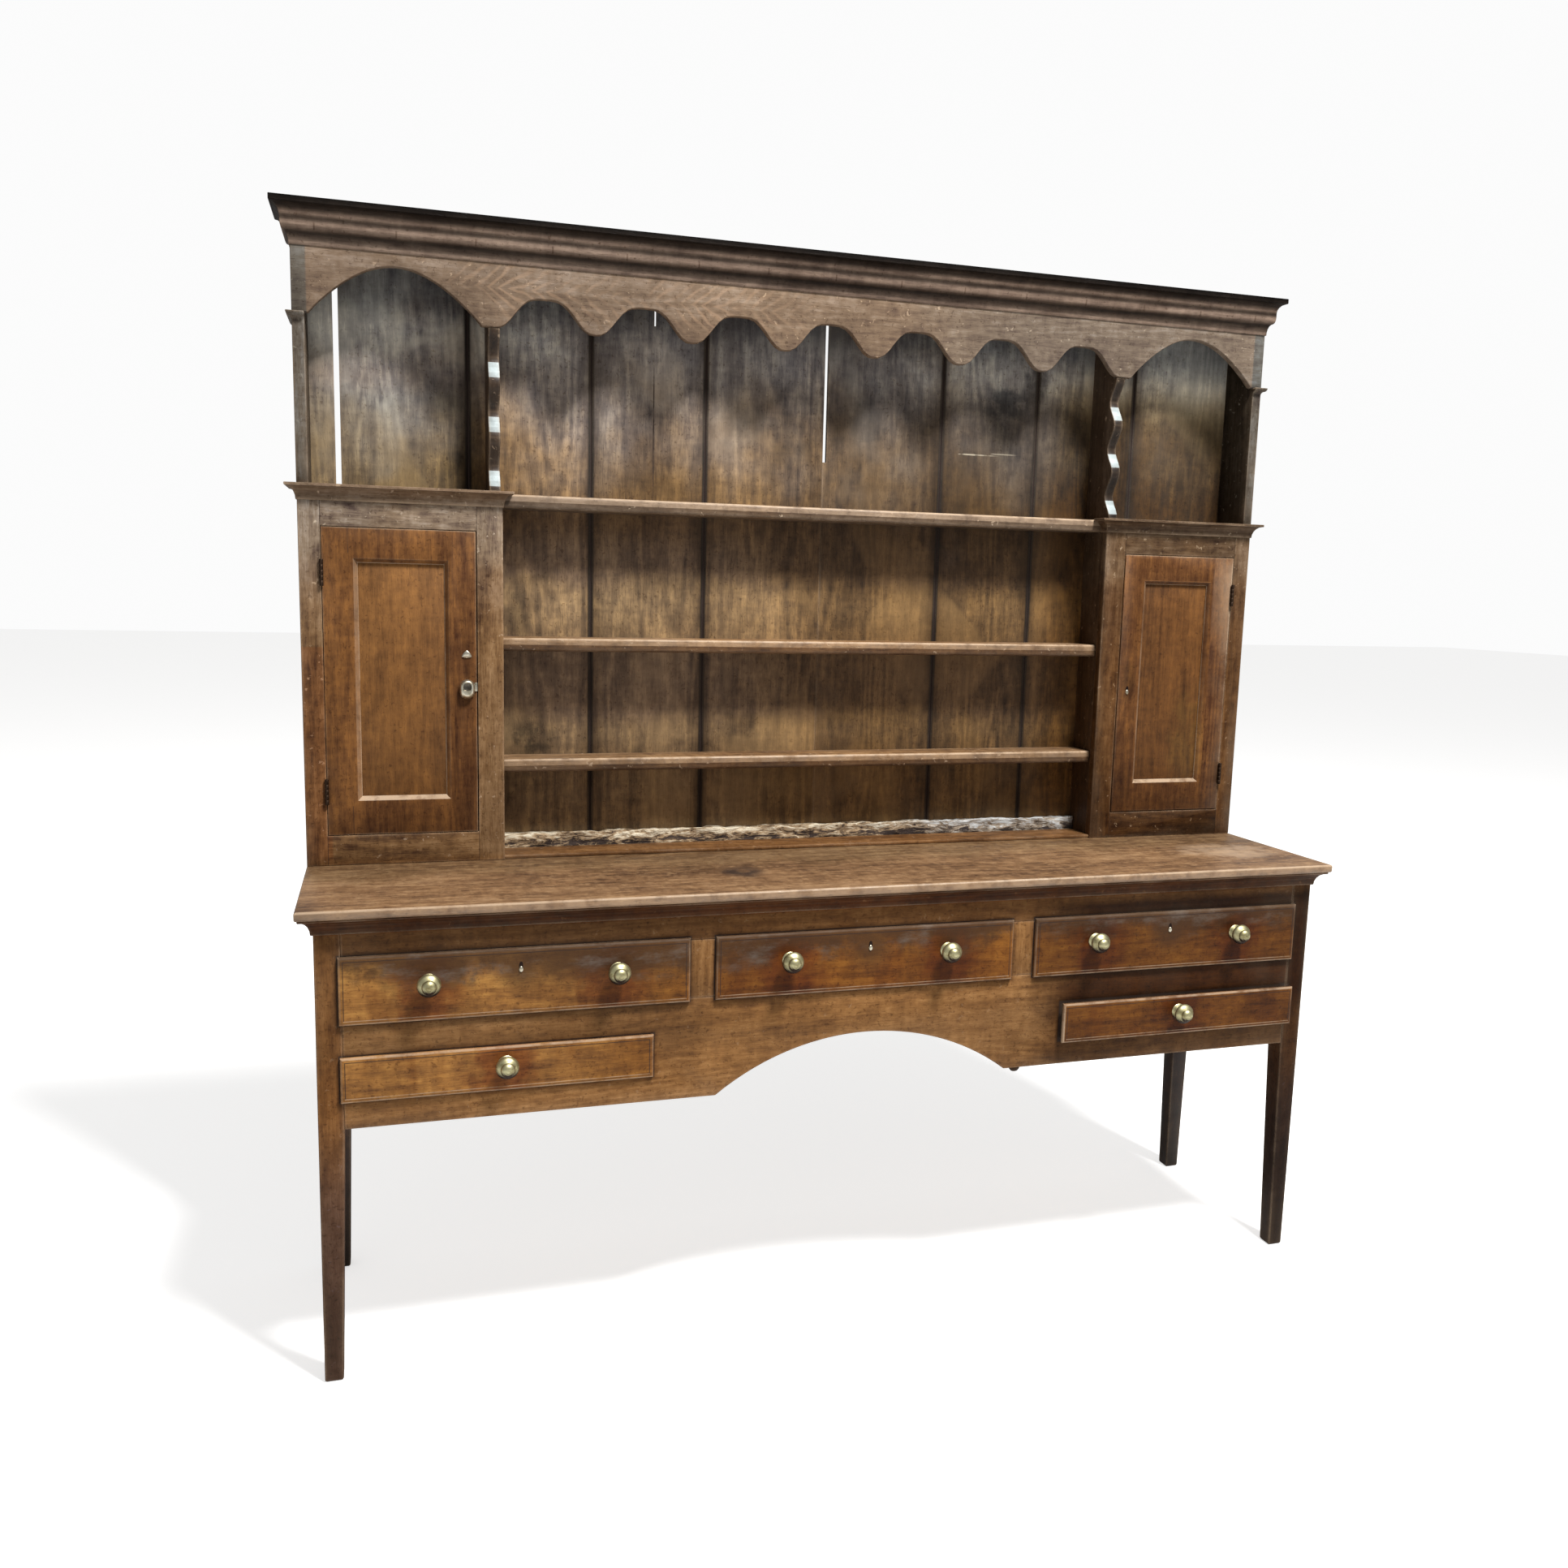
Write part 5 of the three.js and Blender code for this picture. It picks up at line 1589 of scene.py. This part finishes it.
# The light: its place, what it points at, its length and width in metres, and its power in watts
LIGHT_PLACE, LIGHT_TARGET = Vector((1.2, -2.4, 6.0)), Vector((0, 0, 1.2))
LIGHT_SIZE, LIGHT_POWER = 1.0, 650

# How strong the floor glows and how strong the studio is, as the light it sheds and as it's seen
FLOOR_GLOW, STUDIO_LIGHT, STUDIO_SEEN = 0.62, 0.32, 0.97
WHITE = (1, 1, 1, 1)


def hang_light():
    data = bpy.data.lights.new("key light", "AREA")
    data.shape = "RECTANGLE"
    data.size = data.size_y = LIGHT_SIZE
    data.energy = LIGHT_POWER
    light = add("key light", data)
    light.location = LIGHT_PLACE
    light.rotation_euler = (LIGHT_PLACE - LIGHT_TARGET).to_track_quat("Z", "Y").to_euler()


class DRESSER_OT_stage(bpy.types.Operator):
    """Lays a pale floor, hangs a soft light and aims the camera"""

    bl_idname = "dresser.stage"
    bl_label = "Stage"

    def execute(self, context):
        bpy.ops.object.select_all(action="DESELECT")
        bpy.ops.mesh.primitive_plane_add(size=60)
        floor = context.active_object
        floor.name = "floor"
        material, tree = new_material("pale_floor")
        cloud = tree.step(tree.noise(tree.here, 1.5), 0.3, 0.7)
        seen = tree.node("ShaderNodeLightPath")["Is Camera Ray"]
        inputs = {
            "Base Color": rgba("floor"),
            "Roughness": tree.range(cloud, 0.75, 0.85),
            "Emission Color": WHITE,
            "Emission Strength": tree.times(seen, FLOOR_GLOW),
        }
        floor.data.materials.append(finish_material(material, tree, inputs))
        world = bpy.data.worlds.new("pale studio")
        world.use_nodes = True
        sky = Tree(world.node_tree)
        seen = sky.node("ShaderNodeLightPath")["Is Camera Ray"]
        strength = sky.range(seen, STUDIO_LIGHT, STUDIO_SEEN)
        sky.feed(world.node_tree.nodes["Background"], {"Color": WHITE, "Strength": strength})
        context.scene.world = world
        context.scene.view_settings.view_transform = "Standard"
        hang_light()
        aim_camera()
        return {"FINISHED"}


OPERATORS = (
    DRESSER_OT_base,
    DRESSER_OT_top,
    DRESSER_OT_drawers,
    DRESSER_OT_rack,
    DRESSER_OT_shelves,
    DRESSER_OT_backboards,
    DRESSER_OT_foot_rail,
    DRESSER_OT_cupboards,
    DRESSER_OT_doors,
    DRESSER_OT_knobs,
    DRESSER_OT_keyholes,
    DRESSER_OT_hinges,
    DRESSER_OT_catch,
    DRESSER_OT_stage,
)


class DRESSER_PT_panel(bpy.types.Panel):
    """Lists the dresser's sizes, colours and pieces"""

    bl_idname = "DRESSER_PT_panel"
    bl_label = "Dresser"
    bl_space_type = "VIEW_3D"
    bl_region_type = "UI"
    bl_category = "Dresser"

    def draw(self, context):
        layout = self.layout
        for group in (context.scene.dresser_sizes, context.scene.dresser_colours):
            column = layout.column(align=True)
            for name in group.bl_rna.properties.keys():
                if name not in ("rna_type", "name"):
                    column.prop(group, name)
        for operator in OPERATORS:
            layout.operator(operator.bl_idname)


CLASSES = (DresserColours, DresserSizes, *OPERATORS, DRESSER_PT_panel)


def register():
    for made in CLASSES:
        bpy.utils.register_class(made)
    bpy.types.Scene.dresser_colours = bpy.props.PointerProperty(type=DresserColours)
    bpy.types.Scene.dresser_sizes = bpy.props.PointerProperty(type=DresserSizes)


def unregister():
    del bpy.types.Scene.dresser_sizes
    del bpy.types.Scene.dresser_colours
    for made in reversed(CLASSES):
        bpy.utils.unregister_class(made)


def main():
    register()
    for operator in OPERATORS:
        group, name = operator.bl_idname.split(".")
        getattr(getattr(bpy.ops, group), name)()


if __name__ == "__main__":
    main()
